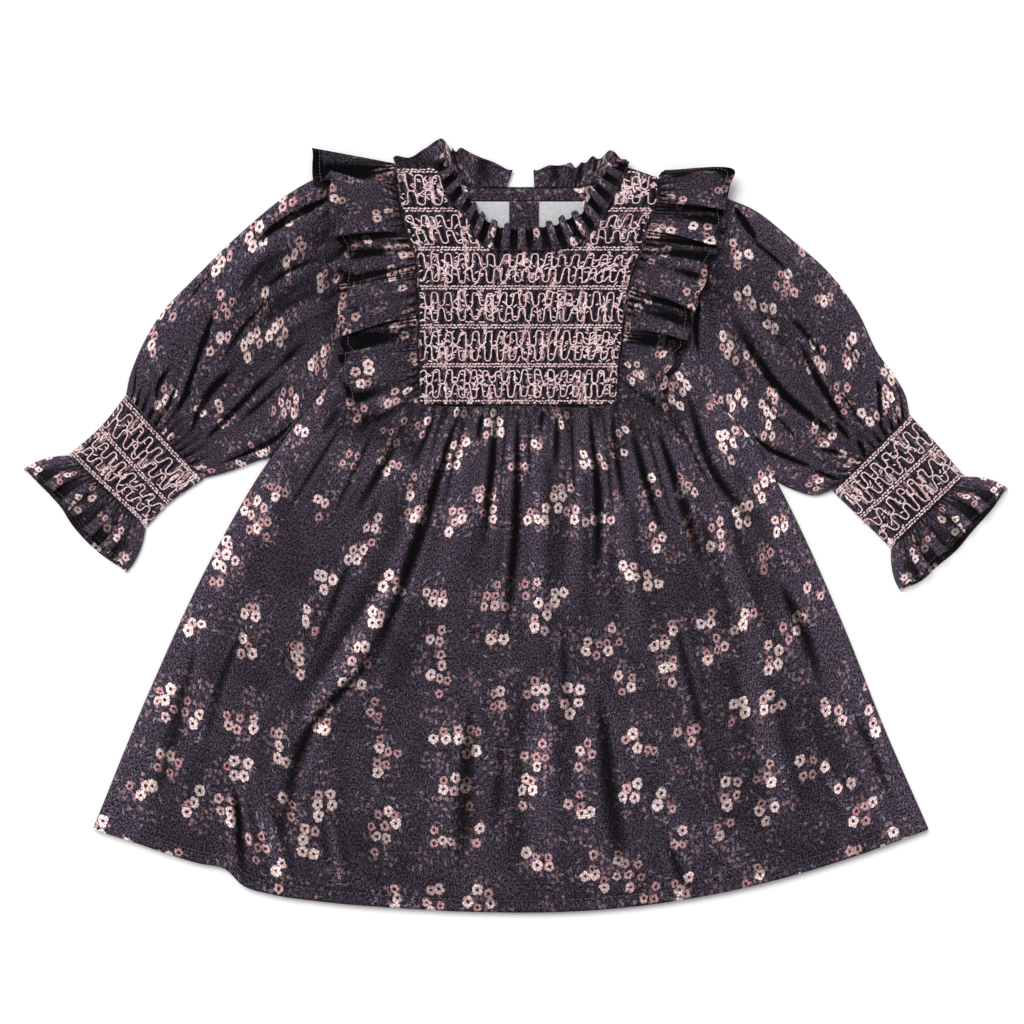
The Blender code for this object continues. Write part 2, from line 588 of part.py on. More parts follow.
def sleeve(name, sections, folds, skirt_side, turn, material):
    top_rows, low_rows, crowns = [], [], []
    side = shifted(smooth(skirt_side, np.linspace(0, 1, 101)), turn * 2 * GAP)
    for x0, y0, x1, y1, crown in sections:
        top_rows.append((x0, y0))
        if x1 is None:
            low_rows.append(tuple(side[int(round(100 * y1))]))
        else:
            low_rows.append((x1, y1))
        crowns.append((crown, crown))
    along = np.linspace(0, 1, 15)
    top_edge = smooth(top_rows, along, even=True)
    low_edge = smooth(low_rows, along, even=True)
    crown = smooth(crowns, along, even=True)[:, 0]
    across = np.concatenate([[0.0, 0.03], np.linspace(0.09, 0.91, 19), [0.97, 1.0]])
    under_across = np.array([0.985, 0.66, 0.33, 0.015])
    outer, inner = flat_tube(top_edge, low_edge, crown, across, under_across,
                             lambda x, y: fold_heights(x, y, folds), TOP_CLOTH)
    return tube_wall(name, outer, inner, material)


def cuff(name, lines, material):
    lines = np.asarray(lines, float)
    along = np.linspace(0, 1, 9)
    edges = smooth(lines, along)
    top_edge, low_edge, crown = edges[:, :2], edges[:, 2:4], edges[:, 4]
    pleats = np.linspace(0.035, 0.965, 2 * CUFF_PLEATS + 1)
    across = np.concatenate([[0.0], pleats, [1.0]])
    under_across = np.array([0.97, 0.5, 0.03])
    puff = np.sin(2 * math.pi * along) ** 2
    outer, inner = flat_tube(top_edge, low_edge, crown, across, under_across,
                             lambda x, y: np.zeros_like(x), CLOTH)
    ridge = np.array([1.0 - k % 2 for k in range(len(pleats))])
    outer[:, 1:-len(under_across) - 1, 2] += 1.2 * (0.3 + 0.7 * puff)[:, None] * ridge[None, :]
    return tube_wall(name, outer, inner[[0, 4, -1]], material)


def cuff_frill(name, seam, edge, material):
    """Flared open end: a waved upper layer, a little shorter than the flat lower one."""
    along = np.array([0, 0.3, 0.65, 1.0])
    upper = np.concatenate([[0.0, 0.02], np.linspace(0.06, 0.94, 4 * CUFF_FRILL_WAVES + 1), [0.98, 1.0]])
    lower = np.array([0.985, 0.86, 0.72, 0.58, 0.44, 0.30, 0.15, 0.015])
    ring = np.concatenate([upper, lower])
    is_upper = np.arange(len(ring)) < len(upper)
    seam_points = smooth(seam, ring)
    edge_points = smooth(edge, ring)
    wave = np.cos(2 * math.pi * CUFF_FRILL_WAVES * (ring - 0.06) / 0.88)
    middle = np.sin(math.pi * ring) ** 0.5
    outer = np.zeros((len(along), len(ring), 3))
    inner = np.zeros_like(outer)
    out_way = (np.mean(edge, axis=0) - np.mean(seam, axis=0))
    out_way /= np.hypot(*out_way)
    side_way = np.asarray(seam[0], float) - np.asarray(seam[1], float)
    side_way /= np.hypot(*side_way)
    for r, v in enumerate(along):
        reach = v * np.where(is_upper, 1 - 0.16 * middle * v - 0.03 * wave * v, 1.0)
        bow = 4 * v * (1 - v) * 3.0 * (0.5 - ring) * 2
        plan = seam_points + (edge_points - seam_points) * reach[:, None] + bow[:, None] * side_way
        crown = 5.4 + 2.6 * v
        bell = (1 - np.abs(2 * ring - 1) ** 6) ** 0.5
        height = np.where(is_upper, 1.5 + (crown - 1.5) * bell + 2.6 * v * wave * middle, 0.0)
        low_limit = CLOTH + LAYER_GAP + FRILL_CLOTH
        inside = is_upper & (ring > 0.001) & (ring < 0.999)
        height = np.where(inside, np.maximum(height, low_limit), height)
        outer[r] = np.column_stack([plan, height])
        width = np.hypot(*(plan[len(upper) - 1] - plan[0]))
        pull = (0.5 - ring) * 2 * CLOTH / width
        plan_in = plan + pull[:, None] * (plan[len(upper) - 1] - plan[0])
        floor = np.where(inside, height - FRILL_CLOTH, CLOTH)
        floor = np.where(is_upper & ~inside, CLOTH + 0.15, floor)
        inner[r] = np.column_stack([plan_in, floor])
    return tube_wall(name, outer, inner, material)


# Frills.
def frill(name, table, seam_high, columns, rows, material, beside=None, shift=0.0):
    """A gathered strip ruled from its seam to its free edge, through a table of turns."""
    u = np.linspace(0, 1, columns)
    v = np.linspace(0, 1, rows)
    track = smooth(table, u, even=True)
    seam = track[:, :2].copy()
    if beside is not None:
        border = smooth(beside, np.linspace(0, 1, 61))
        seam[:, 0] = np.interp(-seam[:, 1], -border[:, 1], border[:, 0]) + shift
    edge, high = track[:, 2:4], track[:, 4]
    middle = np.zeros((rows, columns, 3))
    for r, share in enumerate(v):
        middle[r, :, :2] = seam + (edge - seam) * share
        middle[r, :, 2] = seam_high + (high - seam_high) * share ** 0.8
    return offset_wall(name, middle, FRILL_CLOTH, material)


def offset_wall(name, middle, thick, material):
    """Give a sheet its thickness, half to each side of its middle surface."""
    down = np.gradient(middle, axis=0)
    along = np.gradient(middle, axis=1)
    square = np.cross(along, down)
    square /= np.linalg.norm(square, axis=2)[..., None]
    if square[0, :, 2].mean() < 0:
        square = -square
    return sheet_wall(name, middle + square * thick / 2, middle - square * thick / 2, material)


def neck_frill(material):
    columns = 4 * NECK_FRILL_WAVES + 1
    u = np.linspace(0, 1, columns)
    seam = shifted(smooth(NECKLINE, 0.07 + 0.86 * u), 2 * GAP)
    edge = smooth(NECK_FRILL_EDGE, u)
    wave = np.cos(2 * math.pi * NECK_FRILL_WAVES * u)
    middle = np.zeros((3, columns, 3))
    for r, v in enumerate((0.0, 0.5, 1.0)):
        middle[r, :, :2] = seam + (edge - seam) * v
        middle[r, :, 2] = 5.1 + 0.9 * v + wave * (0.3 + 1.1 * v)
    return offset_wall("neck_frill_front", middle, 1.0, material)


def build():
    start_clean()
    cloth = make_material("brushed_cotton", CLOTH_COLOUR, 0.9)
    smocking = make_material("smocked_cotton", THREAD_COLOUR, 0.85)
    lining = make_material("lining", LINING_COLOUR, 0.9)

    skirt_front(cloth)
    skirt_back(cloth)
    smocked_panel(smocking)
    side_front("side_front_left", ARMHOLE_LEFT, PANEL_LEFT, (0.02, 0.255), cloth)
    side_front("side_front_right", ARMHOLE_RIGHT, PANEL_RIGHT, (0.98, 0.765), cloth)
    bodice_back(cloth)
    for name, (x0, y0, x1, y1, under, thick) in NECK_PLATES.items():
        made_of = lining if name.startswith("lining") else cloth
        plate(name, [(x0, y0), (x1, y0), (x1, y1), (x0, y1)], under, thick, made_of)

    neck_frill(cloth)
    frill("neck_frill_back_left", BACK_FRILL_LEFT, BACK_FRILL_SEAM_HIGH, 28, 4, cloth)
    frill("neck_frill_back_right", BACK_FRILL_RIGHT, BACK_FRILL_SEAM_HIGH, 28, 4, cloth)
    frill("shoulder_frill_left", LEFT_SHOULDER_FRILL, FRILL_SEAM_HIGH, 51, 5, cloth,
          PANEL_LEFT, -2.5 * GAP)
    frill("shoulder_frill_right", RIGHT_SHOULDER_FRILL, FRILL_SEAM_HIGH, 47, 5, cloth,
          PANEL_RIGHT, 2.5 * GAP)

    sleeve("sleeve_left", LEFT_SLEEVE, LEFT_SLEEVE_FOLDS, SKIRT_LEFT, -1, cloth)
    sleeve("sleeve_right", RIGHT_SLEEVE, RIGHT_SLEEVE_FOLDS, SKIRT_RIGHT, 1, cloth)
    cuff("cuff_left", LEFT_CUFF, smocking)
    cuff("cuff_right", RIGHT_CUFF, smocking)
    cuff_frill("cuff_frill_left", LEFT_CUFF_SEAM, LEFT_CUFF_EDGE, cloth)
    cuff_frill("cuff_frill_right", RIGHT_CUFF_SEAM, RIGHT_CUFF_EDGE, cloth)


build()
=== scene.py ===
# Child's smocked dress, laid flat and face up: its looks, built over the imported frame.
# Lengths are millimetres until a mesh is made. +X runs across the sleeves, +Y towards the neck.
import math

import bmesh
import bpy
import numpy as np
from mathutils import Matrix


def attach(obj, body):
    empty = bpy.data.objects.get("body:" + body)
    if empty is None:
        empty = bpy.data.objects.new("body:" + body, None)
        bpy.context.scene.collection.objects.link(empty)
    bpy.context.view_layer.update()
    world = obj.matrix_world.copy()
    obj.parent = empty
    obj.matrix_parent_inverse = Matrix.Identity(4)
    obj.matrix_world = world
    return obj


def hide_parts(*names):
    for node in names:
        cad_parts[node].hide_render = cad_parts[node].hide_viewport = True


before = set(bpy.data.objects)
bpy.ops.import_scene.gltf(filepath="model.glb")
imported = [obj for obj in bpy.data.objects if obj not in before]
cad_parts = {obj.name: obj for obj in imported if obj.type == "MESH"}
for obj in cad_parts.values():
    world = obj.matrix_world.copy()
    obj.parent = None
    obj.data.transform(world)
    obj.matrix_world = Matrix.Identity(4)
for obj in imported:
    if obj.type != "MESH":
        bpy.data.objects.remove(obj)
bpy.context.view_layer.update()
bpy.ops.object.select_all(action="DESELECT")

mm = 0.001
clothThick = 0.7           # wall of the thin shells
frillThick = 0.6
underLayer = 1.2           # top of the lower layer of a flat tube
tubeSide = 1.3             # where its upper layer starts at both sides
layerGap = 0.3             # between two layers that lie on each other
seamGap = 0.4              # between two pieces at a seam
foldShape = {"steps": 13, "valleySlim": 0.76, "pinch": 0.32, "pinchWide": 0.24}
insideShade = 0.45         # how much darker the inside of a tube lies
tau = 2 * math.pi


# Curves and heights.
def shares(count):
    return np.linspace(0, 1, count)


def hump(away, width):
    return np.exp(-((away / width) ** 2))


def travelled(points):
    # plan distance from the first point to each one
    return np.concatenate([[0.0], np.cumsum(np.hypot(*np.diff(points, axis=0).T))])


def heading(points):
    run = np.gradient(points, axis=0)
    return run / np.hypot(run[:, 0], run[:, 1])[:, None]


def smoothCurve(rows, share, even=False):
    rows = np.asarray(rows, float)
    if even:
        knots = shares(len(rows))
    else:
        steps = np.hypot(np.diff(rows[:, 0]), np.diff(rows[:, 1]))
        knots = np.concatenate([[0.0], np.cumsum(steps)]) / steps.sum()
    slopes = np.gradient(rows, knots, axis=0)
    share = np.clip(np.asarray(share, float), 0.0, 1.0)
    low = np.clip(np.searchsorted(knots, share, side="right") - 1, 0, len(knots) - 2)
    span = (knots[low + 1] - knots[low])[..., None]
    u = (share - knots[low])[..., None] / span
    return (rows[low] * (2 * u**3 - 3 * u**2 + 1) + slopes[low] * span * (u**3 - 2 * u**2 + u)
            + rows[low + 1] * (3 * u**2 - 2 * u**3) + slopes[low + 1] * span * (u**3 - u**2))


def softStep(value):
    value = np.clip(value, 0.0, 1.0)
    return value * value * (3 - 2 * value)


def edgePatch(top, bottom, left, right, across, down):
    # fills four edge curves with a grid of plan points, rows running down
    s, t = across[None, :, None], down[:, None, None]
    over, below = smoothCurve(top, across)[None], smoothCurve(bottom, across)[None]
    port, starboard = smoothCurve(left, down)[:, None], smoothCurve(right, down)[:, None]
    corners = ((1 - s) * (1 - t) * over[:, :1] + s * (1 - t) * over[:, -1:]
               + (1 - s) * t * below[:, :1] + s * t * below[:, -1:])
    return (1 - t) * over + t * below + (1 - s) * port + s * starboard - corners


def foldHeights(x, y, table):
    # each row: from x, y, by x, y, to x, y, half width at both ends, height
    height = np.zeros_like(x)
    for x0, y0, x1, y1, x2, y2, half, endHalf, high in table:
        line = smoothCurve([(x0, y0), (x1, y1), (x2, y2)], shares(foldShape["steps"]))
        reach = 1.2 * max(half, endHalf)
        near = ((x > line[:, 0].min() - reach) & (x < line[:, 0].max() + reach)
                & (y > line[:, 1].min() - reach) & (y < line[:, 1].max() + reach))
        px, py = x[near], y[near]
        nearest, along = np.full_like(px, 1e9), np.zeros_like(px)
        for k in range(len(line) - 1):
            step = line[k + 1] - line[k]
            part = ((px - line[k, 0]) * step[0] + (py - line[k, 1]) * step[1]) / (step @ step)
            part = np.clip(part, 0.0, 1.0)
            away = np.hypot(px - line[k, 0] - part * step[0], py - line[k, 1] - part * step[1])
            along = np.where(away < nearest, (k + part) / (len(line) - 1), along)
            nearest = np.minimum(nearest, away)
        width = half + (endHalf - half) * along
        if high < 0:
            slim = 0.4 + 0.6 * np.sin(math.pi * np.clip(along, 0, 1)) ** 0.7
            width = width * (foldShape["valleySlim"] * slim)
        profile = np.cos(np.clip(nearest / width, 0, 1) * math.pi / 2) ** 2
        if high < 0:
            # a pinched line in the middle of a valley
            profile += foldShape["pinch"] * hump(nearest, foldShape["pinchWide"] * width)
        height[near] += high * profile * softStep(along / 0.3 + 0.16) * softStep((1 - along) / 0.6)
    return height


def unevenness(x, y, size, seed):
    # gentle irregular swells about as wide as size, from -1 to 1
    total = np.zeros_like(x)
    for k in range(5):
        turn = seed + 2.4 * k
        way = x * math.cos(turn) + y * math.sin(turn)
        side = y * math.cos(turn) - x * math.sin(turn)
        total += np.sin(way / (size * (0.34 + 0.09 * k)) + 1.4 * np.sin(side / (size * 0.8) + k) + seed * k)
    return total / 5


def shiftedCurve(outline, by):
    points = np.asarray(outline, float)[:, :2]
    run = heading(points)
    return points + by * np.stack([-run[:, 1], run[:, 0]], axis=1)


# Meshes.
def surfaceNormals(grid, closed=False):
    down = np.gradient(grid, axis=0)
    if closed:
        wrapped = np.concatenate([grid[:, -1:], grid, grid[:, :1]], axis=1)
        along = np.gradient(wrapped, axis=1)[:, 1:-1]
        outward = grid - grid.mean(axis=1, keepdims=True)
    else:
        along = np.gradient(grid, axis=1)
        outward = np.array([0.0, 0.0, 1.0])
    normals = np.cross(down, along)
    normals /= np.maximum(np.linalg.norm(normals, axis=2), 1e-9)[..., None]
    return normals if (normals * outward).sum() > 0 else -normals


def foldShadingValues(grid, normals, reach, closed):
    # how far each point stands above its surroundings, for a painted highlight on fold edges and painted shade
    # in the valleys
    total = np.zeros(grid.shape[:2])
    for axis in (0, 1):
        place = np.arange(grid.shape[axis])
        for times, weight in ((1, 1.0), (3, 0.4), (7, 0.22)):
            step = reach[axis] * times
            pads = [(step, step) if k == axis else (0, 0) for k in range(3)]
            how = {"mode": "wrap"} if closed and axis == 1 else {"mode": "reflect", "reflect_type": "odd"}
            wide = np.pad(grid, pads, **how)
            middle = (np.take(wide, place, axis) + np.take(wide, place + 2 * step, axis)) / 2
            total += weight * ((grid - middle) * normals).sum(axis=2)
    return total / (1.1 + np.abs(total))


def clothShell(name, top, cut, thick=clothThick, closed=False, reach=(2, 3), under=None, shadow=0.0):
    # a thin closed shell under a grid of points; cut holds each point's place on the flat cloth
    normals = surfaceNormals(top, closed)
    if under is None:
        under = top - normals * thick
    count = top.shape[0] * top.shape[1]
    index = np.arange(count).reshape(top.shape[:2])
    if closed:
        index = np.concatenate([index, index[:, :1]], axis=1)
    first, last = slice(None, -1), slice(1, None)
    corners = [(first, first), (first, last), (last, last), (last, first)]
    quads = np.stack([index[c] for c in corners], axis=-1).reshape(-1, 4)
    quadCut = np.stack([cut[c] for c in corners], axis=-2).reshape(-1, 4, 2)
    rims = [(index[0], cut[0]), (index[-1], cut[-1])]
    if not closed:
        rims += [(index[:, 0], cut[:, 0]), (index[:, -1], cut[:, -1])]
    faces, places = [quads, quads + count], [quadCut, quadCut]
    for run, runCut in rims:
        faces.append(np.stack([run[:-1], run[1:], run[1:] + count, run[:-1] + count], axis=-1))
        places.append(np.stack([runCut[:-1], runCut[1:], runCut[1:], runCut[:-1]], axis=-2))
    faces, places = np.concatenate(faces), np.concatenate(places)
    points = np.concatenate([top.reshape(-1, 3), under.reshape(-1, 3)]) * mm
    mesh = bpy.data.meshes.new(name)
    mesh.from_pydata(points.tolist(), [], faces.tolist())
    layer = mesh.uv_layers.new(name="cut")
    layer.data.foreach_set("uv", (places * mm).ravel())
    crest = mesh.attributes.new("crest", "FLOAT", "POINT")
    # painted fold highlight and shade, lowered by the piece's painted shadow; the inside of a tube gets more
    # painted shade
    values = foldShadingValues(top, normals, reach, closed).ravel() - shadow
    inner = values - insideShade if closed else values
    crest.data.foreach_set("value", np.concatenate([values, inner]))
    return finishMesh(name, mesh, smooth=True)


def finishMesh(name, mesh, smooth):
    work = bmesh.new()
    work.from_mesh(mesh)
    bmesh.ops.recalc_face_normals(work, faces=work.faces)
    work.to_mesh(mesh)
    work.free()
    if smooth:
        mesh.shade_smooth()
    piece = bpy.data.objects.new(name, mesh)
    bpy.context.collection.objects.link(piece)
    return piece


def flatPlate(name, outline, under, thick):
    # a cut outline with a wall, for pieces that lie flat and mostly hidden
    count = len(outline)
    points = [(x * mm, y * mm, z * mm) for z in (under, under + thick) for x, y in outline]
    faces = [tuple(range(count)), tuple(range(count, 2 * count))]
    faces += [(k, (k + 1) % count, count + (k + 1) % count, count + k) for k in range(count)]
    mesh = bpy.data.meshes.new(name)
    mesh.from_pydata(points, [], faces)
    layer = mesh.uv_layers.new(name="cut")
    for loop in mesh.loops:
        layer.data[loop.index].uv = mesh.vertices[loop.vertex_index].co.xy
    # flat plates get no painted fold highlight or shade
    mesh.attributes.new("crest", "FLOAT", "POINT")
    return finishMesh(name, mesh, smooth=False)


def threadPiece(name, paths, sides=5):
    # joined tubes along many short paths; each path is x, y, z and radius a row
    points, faces = [], []
    for path in paths:
        centre, radius = path[:, :3], path[:, 3]
        ahead = np.gradient(centre, axis=0)
        ahead /= np.maximum(np.linalg.norm(ahead, axis=1), 1e-9)[:, None]
        side = np.cross(ahead, [0.0, 0.0, 1.0])
        side /= np.maximum(np.linalg.norm(side, axis=1), 1e-9)[:, None]
        up = np.cross(side, ahead)
        turn = np.arange(sides) * tau / sides
        ring = (side[:, None] * np.cos(turn)[None, :, None] + up[:, None] * np.sin(turn)[None, :, None])
        rings = centre[:, None] + ring * radius[:, None, None]
        first, count = len(points), len(centre)
        points += rings.reshape(-1, 3).tolist()
        for r in range(count - 1):
            for c in range(sides):
                a, b = first + r * sides + c, first + r * sides + (c + 1) % sides
                faces.append((a, b, b + sides, a + sides))
        faces.append(tuple(range(first, first + sides)))
        faces.append(tuple(range(first + (count - 1) * sides, first + count * sides)))
    mesh = bpy.data.meshes.new(name)
    mesh.from_pydata((np.array(points) * mm).tolist(), [], faces)
    return finishMesh(name, mesh, smooth=True)


hemStitches = []           # paths of all hem stitches, joined into one piece at the end
hemSewing = {
    "row": 3,                              # rows of points between a free edge and its stitches
    "every": 2.4, "long": 1.6,             # mm from stitch to stitch, and of one stitch
    "radius": 0.2,                         # coarser than real thread, so that the stitches show
    "above": 0.12, "sink": 0.2,
}


def sewHem(grid, every=hemSewing["every"], long=hemSewing["long"]):
    row = -1 - hemSewing["row"]
    line = grid[row] + surfaceNormals(grid)[row] * hemSewing["above"]
    far = np.concatenate([[0.0], np.cumsum(np.linalg.norm(np.diff(line, axis=0), axis=1))])
    for start in np.arange(1.0, far[-1] - long - 1.0, every):
        place = np.linspace(start, start + long, 4)
        spots = np.column_stack([np.interp(place, far, line[:, k]) for k in range(3)])
        spots[[0, -1], 2] -= hemSewing["sink"]
        hemStitches.append(np.column_stack([spots, np.full(4, hemSewing["radius"])]))


def tubeCut(upper, lower, over, below, down):
    # places on the flat cloth for a tube: over mm wide above, below mm wide underneath
    around = np.concatenate([upper * over, over + (1 - lower) * below, [over + below]])
    return np.dstack(np.meshgrid(around, down))


# Materials.
def linearColour(hexText):
    parts = [int(hexText[k:k + 2], 16) / 255 for k in (1, 3, 5)]
    return tuple(c / 12.92 if c <= 0.04045 else ((c + 0.055) / 1.055) ** 2.4 for c in parts) + (1.0,)


def addNode(tree, kind, settings):
    # a setting is an attribute or a fixed value, or else what is joined to that input
    node = tree.nodes.new("ShaderNode" + kind)
    for key, value in settings.items():
        if isinstance(value, bpy.types.Node):
            measured = getattr(value, "operation", "") in ("DISTANCE", "LENGTH")
            value = value.outputs[2 if value.bl_idname == "ShaderNodeMix" else int(measured)]
        if isinstance(value, bpy.types.NodeSocket):
            tree.links.new(value, node.inputs[key])
        elif isinstance(key, str) and hasattr(node, key):
            setattr(node, key, value)
        else:
            node.inputs[key].default_value = linearColour(value) if isinstance(value, str) else value
    return node


def nodeTools(tree):
    # short ways to add the nodes that the materials use most
    def sums(operation, *values):
        return addNode(tree, "Math", {"operation": operation, **dict(enumerate(values))})

    def vectors(operation, *values):
        return addNode(tree, "VectorMath", {"operation": operation, **dict(enumerate(values))})

    def remap(value, low, high, newLow=0.0, newHigh=1.0):
        return addNode(tree, "MapRange", {0: value, 1: low, 2: high, 3: newLow, 4: newHigh})

    def blend(share, under, over, way="MIX"):
        return addNode(tree, "Mix", {"data_type": "RGBA", "blend_type": way, 0: share, 6: under, 7: over})

    def noise(place, scale, detail, roughness=0.5):
        return addNode(tree, "TexNoise", {"Vector": place, "Scale": scale, "Detail": detail,
                                          "Roughness": roughness})

    return sums, vectors, remap, blend, noise


def startMaterial(name, roughness, sheen):
    material = bpy.data.materials.new(name)
    material.use_nodes = True
    tree = material.node_tree
    shader = tree.nodes["Principled BSDF"]
    for key, value in (("Roughness", roughness), ("Specular IOR Level", 0.1), ("Sheen Weight", sheen),
                       ("Sheen Roughness", 0.45)):
        shader.inputs[key].default_value = value
    return material, tree, shader


def finishMaterial(tree, shader, colour, relief, strength, depth):
    tree.links.new(colour.outputs[2], shader.inputs["Base Color"])
    bump = addNode(tree, "Bump", {"Strength": strength, "Distance": depth * mm, "Height": relief})
    tree.links.new(bump.outputs[0], shader.inputs["Normal"])


flowerPrint = {
    "blossomCell": 7.8,        # mm between neighbouring blossoms of a bunch
    "blossomRadius": 4.4,
    "bunchCell": 34.5,         # mm between bunches
    "bunchRadius": 8.8,
    "floretCell": 3.4,         # small faded florets
    "floretRadius": 1.5,
    "fadedCell": 30.0,         # mm between the faded bunches
    "fadedRadius": 6.8,
    "leafCell": 4.8,
    "leafHalfLength": 2.1,
    "leafHalfWidth": 0.75,
    "pale": "#ead0cd",
    "rose": "#b88d91",
    "floret": "#9c797e",
    "faded": "#5c4850",
    "eye": "#3a1c24",
    "leaf": "#75727e",
    "grain": 1.2,              # mm, tufts of the brushed face
}


def printedFlowers(tree, ground, place):
    size = flowerPrint
    sums, vectors, remap, blend, noise = nodeTools(tree)

    def nearestSpot(spot, cell, loose):
        # the nearest of many scattered places about a cell apart, and three chances there
        found = addNode(tree, "TexVoronoi", {"voronoi_dimensions": "2D", "Scale": 1 / cell,
                                            "Randomness": loose, "Vector": spot})
        chances = addNode(tree, "SeparateColor", {0: found.outputs["Color"]})
        return found.outputs["Position"], *chances.outputs

    def bunchDistance(spot, shift, cell):
        moved = vectors("ADD", spot, shift)
        return vectors("DISTANCE", moved, nearestSpot(moved, cell, 0.82)[0])

    def turnedAway(position, turn, stretch):
        # distance from a spot after a turn and a squeeze, and the place there
        local = vectors("SUBTRACT", place, position)
        turned = addNode(tree, "VectorRotate", {"rotation_type": "Z_AXIS", "Vector": local,
                                                "Angle": sums("MULTIPLY", turn, tau)})
        squeezed = vectors("MULTIPLY", turned, stretch)
        return vectors("LENGTH", squeezed), squeezed

    def chosenWithin(distance, chance, radius, ragged):
        return sums("LESS_THAN", sums("ADD", distance, remap(chance, 0.0, 1.0, -ragged, ragged)), radius)

    main, faded = (0.0, 0.0, 0.0), (17.5, 15.0, 0.0)        # shifts of the two sets of bunches
    wobble = vectors("SUBTRACT", noise(place, 0.55, 1.0).outputs["Color"], (0.5, 0.5, 0.5))
    place = vectors("MULTIPLY_ADD", wobble, (2.2, 2.2, 0.0), place)

    # leaf sprigs in a ring round each bunch
    leafAt, turn, often, bright = nearestSpot(place, size["leafCell"], 0.9)
    slim = (1 / size["leafHalfLength"], 1 / size["leafHalfWidth"], 0.0)
    leafShape = remap(turnedAway(leafAt, turn, slim)[0], 0.75, 1.1, 1.0, 0.0)
    colour = ground
    for shift, cell, nearest, farthest in ((main, size["bunchCell"], 7.0, 15.0),
                                           (faded, size["fadedCell"], 4.5, 12.0)):
        distance = bunchDistance(leafAt, shift, cell)
        mask = sums("LESS_THAN", distance, farthest)
        for factor in (sums("GREATER_THAN", distance, nearest), sums("GREATER_THAN", often, 0.45), leafShape,
                       bright):
            mask = sums("MULTIPLY", mask, factor)
        colour = blend(mask, colour, size["leaf"])

    # small faded florets in bunches of their own, and a few beside the main ones
    floretAt, often, shade, chance = nearestSpot(place, size["floretCell"], 0.8)
    floretTone = blend(shade, size["faded"], size["floret"])
    floretShape = remap(vectors("DISTANCE", place, floretAt), 0.6 * size["floretRadius"], size["floretRadius"],
                        1.0, 0.0)
    for shift, cell, radius in ((faded, size["fadedCell"], size["fadedRadius"]),
                                (main, size["bunchCell"], 8.5)):
        mask = chosenWithin(bunchDistance(floretAt, shift, cell), chance, radius, 3.0)
        for factor in (floretShape, sums("GREATER_THAN", often, 0.42), 0.75):
            mask = sums("MULTIPLY", mask, factor)
        colour = blend(mask, colour, floretTone)

    # open blossoms: five soft lobes round a dark eye, some seen from the side
    blossomAt, turn, bright, chance = nearestSpot(place, size["blossomCell"], 0.62)
    stretch = addNode(tree, "CombineXYZ", {0: 1.0, 1: remap(chance, 0.35, 1.0, 1.0, 1.35)})
    away, squeezed = turnedAway(blossomAt, turn, stretch)
    parts = addNode(tree, "SeparateXYZ", {0: squeezed}).outputs
    lobe = sums("COSINE", sums("MULTIPLY", sums("ARCTAN2", parts["Y"], parts["X"]), 5.0))
    reach = remap(bright, 0.0, 1.0, 0.68 * size["blossomRadius"], size["blossomRadius"])
    edge = sums("MULTIPLY", reach, remap(lobe, -1.0, 1.0, 0.9, 1.0))
    blossom = remap(sums("SUBTRACT", edge, away), 0.0, 0.6)
    petal = blend(remap(bright, 0.22, 0.75), size["rose"], size["pale"])
    petal = blend(1.0, petal, remap(lobe, -1.0, -0.2, 0.76, 1.0), "MULTIPLY")
    petal = blend(remap(away, 0.8, 1.5, 1.0, 0.0), petal, size["eye"])
    chosen = chosenWithin(bunchDistance(blossomAt, main, size["bunchCell"]), chance, size["bunchRadius"], 3.5)
    return blend(sums("MULTIPLY", chosen, blossom), colour, petal)


def brushedCotton(name, dark, pale, shade):
    # napped cotton: soft grain, no gloss, a painted highlight on the fold edges and painted shade in the
    # valleys
    material, tree, shader = startMaterial(name, 0.95, 0.09)
    sums, vectors, remap, blend, noise = nodeTools(tree)
    shader.inputs["Sheen Tint"].default_value = linearColour("#8a8394")
    cut = addNode(tree, "UVMap", {"uv_map": "cut"})
    place = addNode(tree, "VectorMath", {"operation": "SCALE", "Scale": 1 / mm, 0: cut})
    grain = noise(place, 1 / flowerPrint["grain"], 2.0, 0.75)
    hairs = noise(vectors("MULTIPLY", place, (1.0, 0.35, 1.0)), 1.1, 2.0)
    tufts = remap(sums("MULTIPLY_ADD", grain, 1.4, hairs), 0.98, 1.6)
    colour = printedFlowers(tree, blend(tufts, dark, pale), place)
    crest = addNode(tree, "Attribute", {"attribute_name": "crest"}).outputs["Fac"]
    # random grain tone, then the painted fold highlight and shade
    for factor in (remap(grain, 0.38, 0.62, 0.32, 1.36), remap(crest, -0.8, 0.75, 1 - shade, 1 + 0.7 * shade)):
        colour = blend(1.0, colour, factor, "MULTIPLY")
    finishMaterial(tree, shader, colour, sums("ADD", grain, noise(place, 0.22, 2.0)), 0.7, 0.3)
    return material


def spunCotton(name, dark, pale, roughness, sheen, grain, patchy, span):
    # plain cotton in two tones, mixed by its grain and, where it is patchy, by broad patches
    material, tree, shader = startMaterial(name, roughness, sheen)
    sums, vectors, remap, blend, noise = nodeTools(tree)
    place = addNode(tree, "VectorMath", {"operation": "SCALE", "Scale": 1 / mm,
                                         0: addNode(tree, "TexCoord", {}).outputs["Object"]})
    strands = share = noise(place, *grain)
    if patchy:
        share = sums("MULTIPLY_ADD", noise(place, 0.12, 1.0), patchy, strands)
    finishMaterial(tree, shader, blend(remap(share, *span), dark, pale), strands, 0.4, 0.2)
    return material


def cottonFloss(name, dark, pale):
    # stranded embroidery cotton: a soft lustre, paler where its strands catch the light
    return spunCotton(name, dark, pale, 0.62, 0.15, (1.4, 3.0), 0.6, (0.55, 1.05))


def feltedLining(name, dark, pale):
    # washed cotton lining: pale, matt and slightly felted
    return spunCotton(name, dark, pale, 0.95, 0.1, (0.9, 4.0, 0.7), 0.0, (0.3, 0.7))


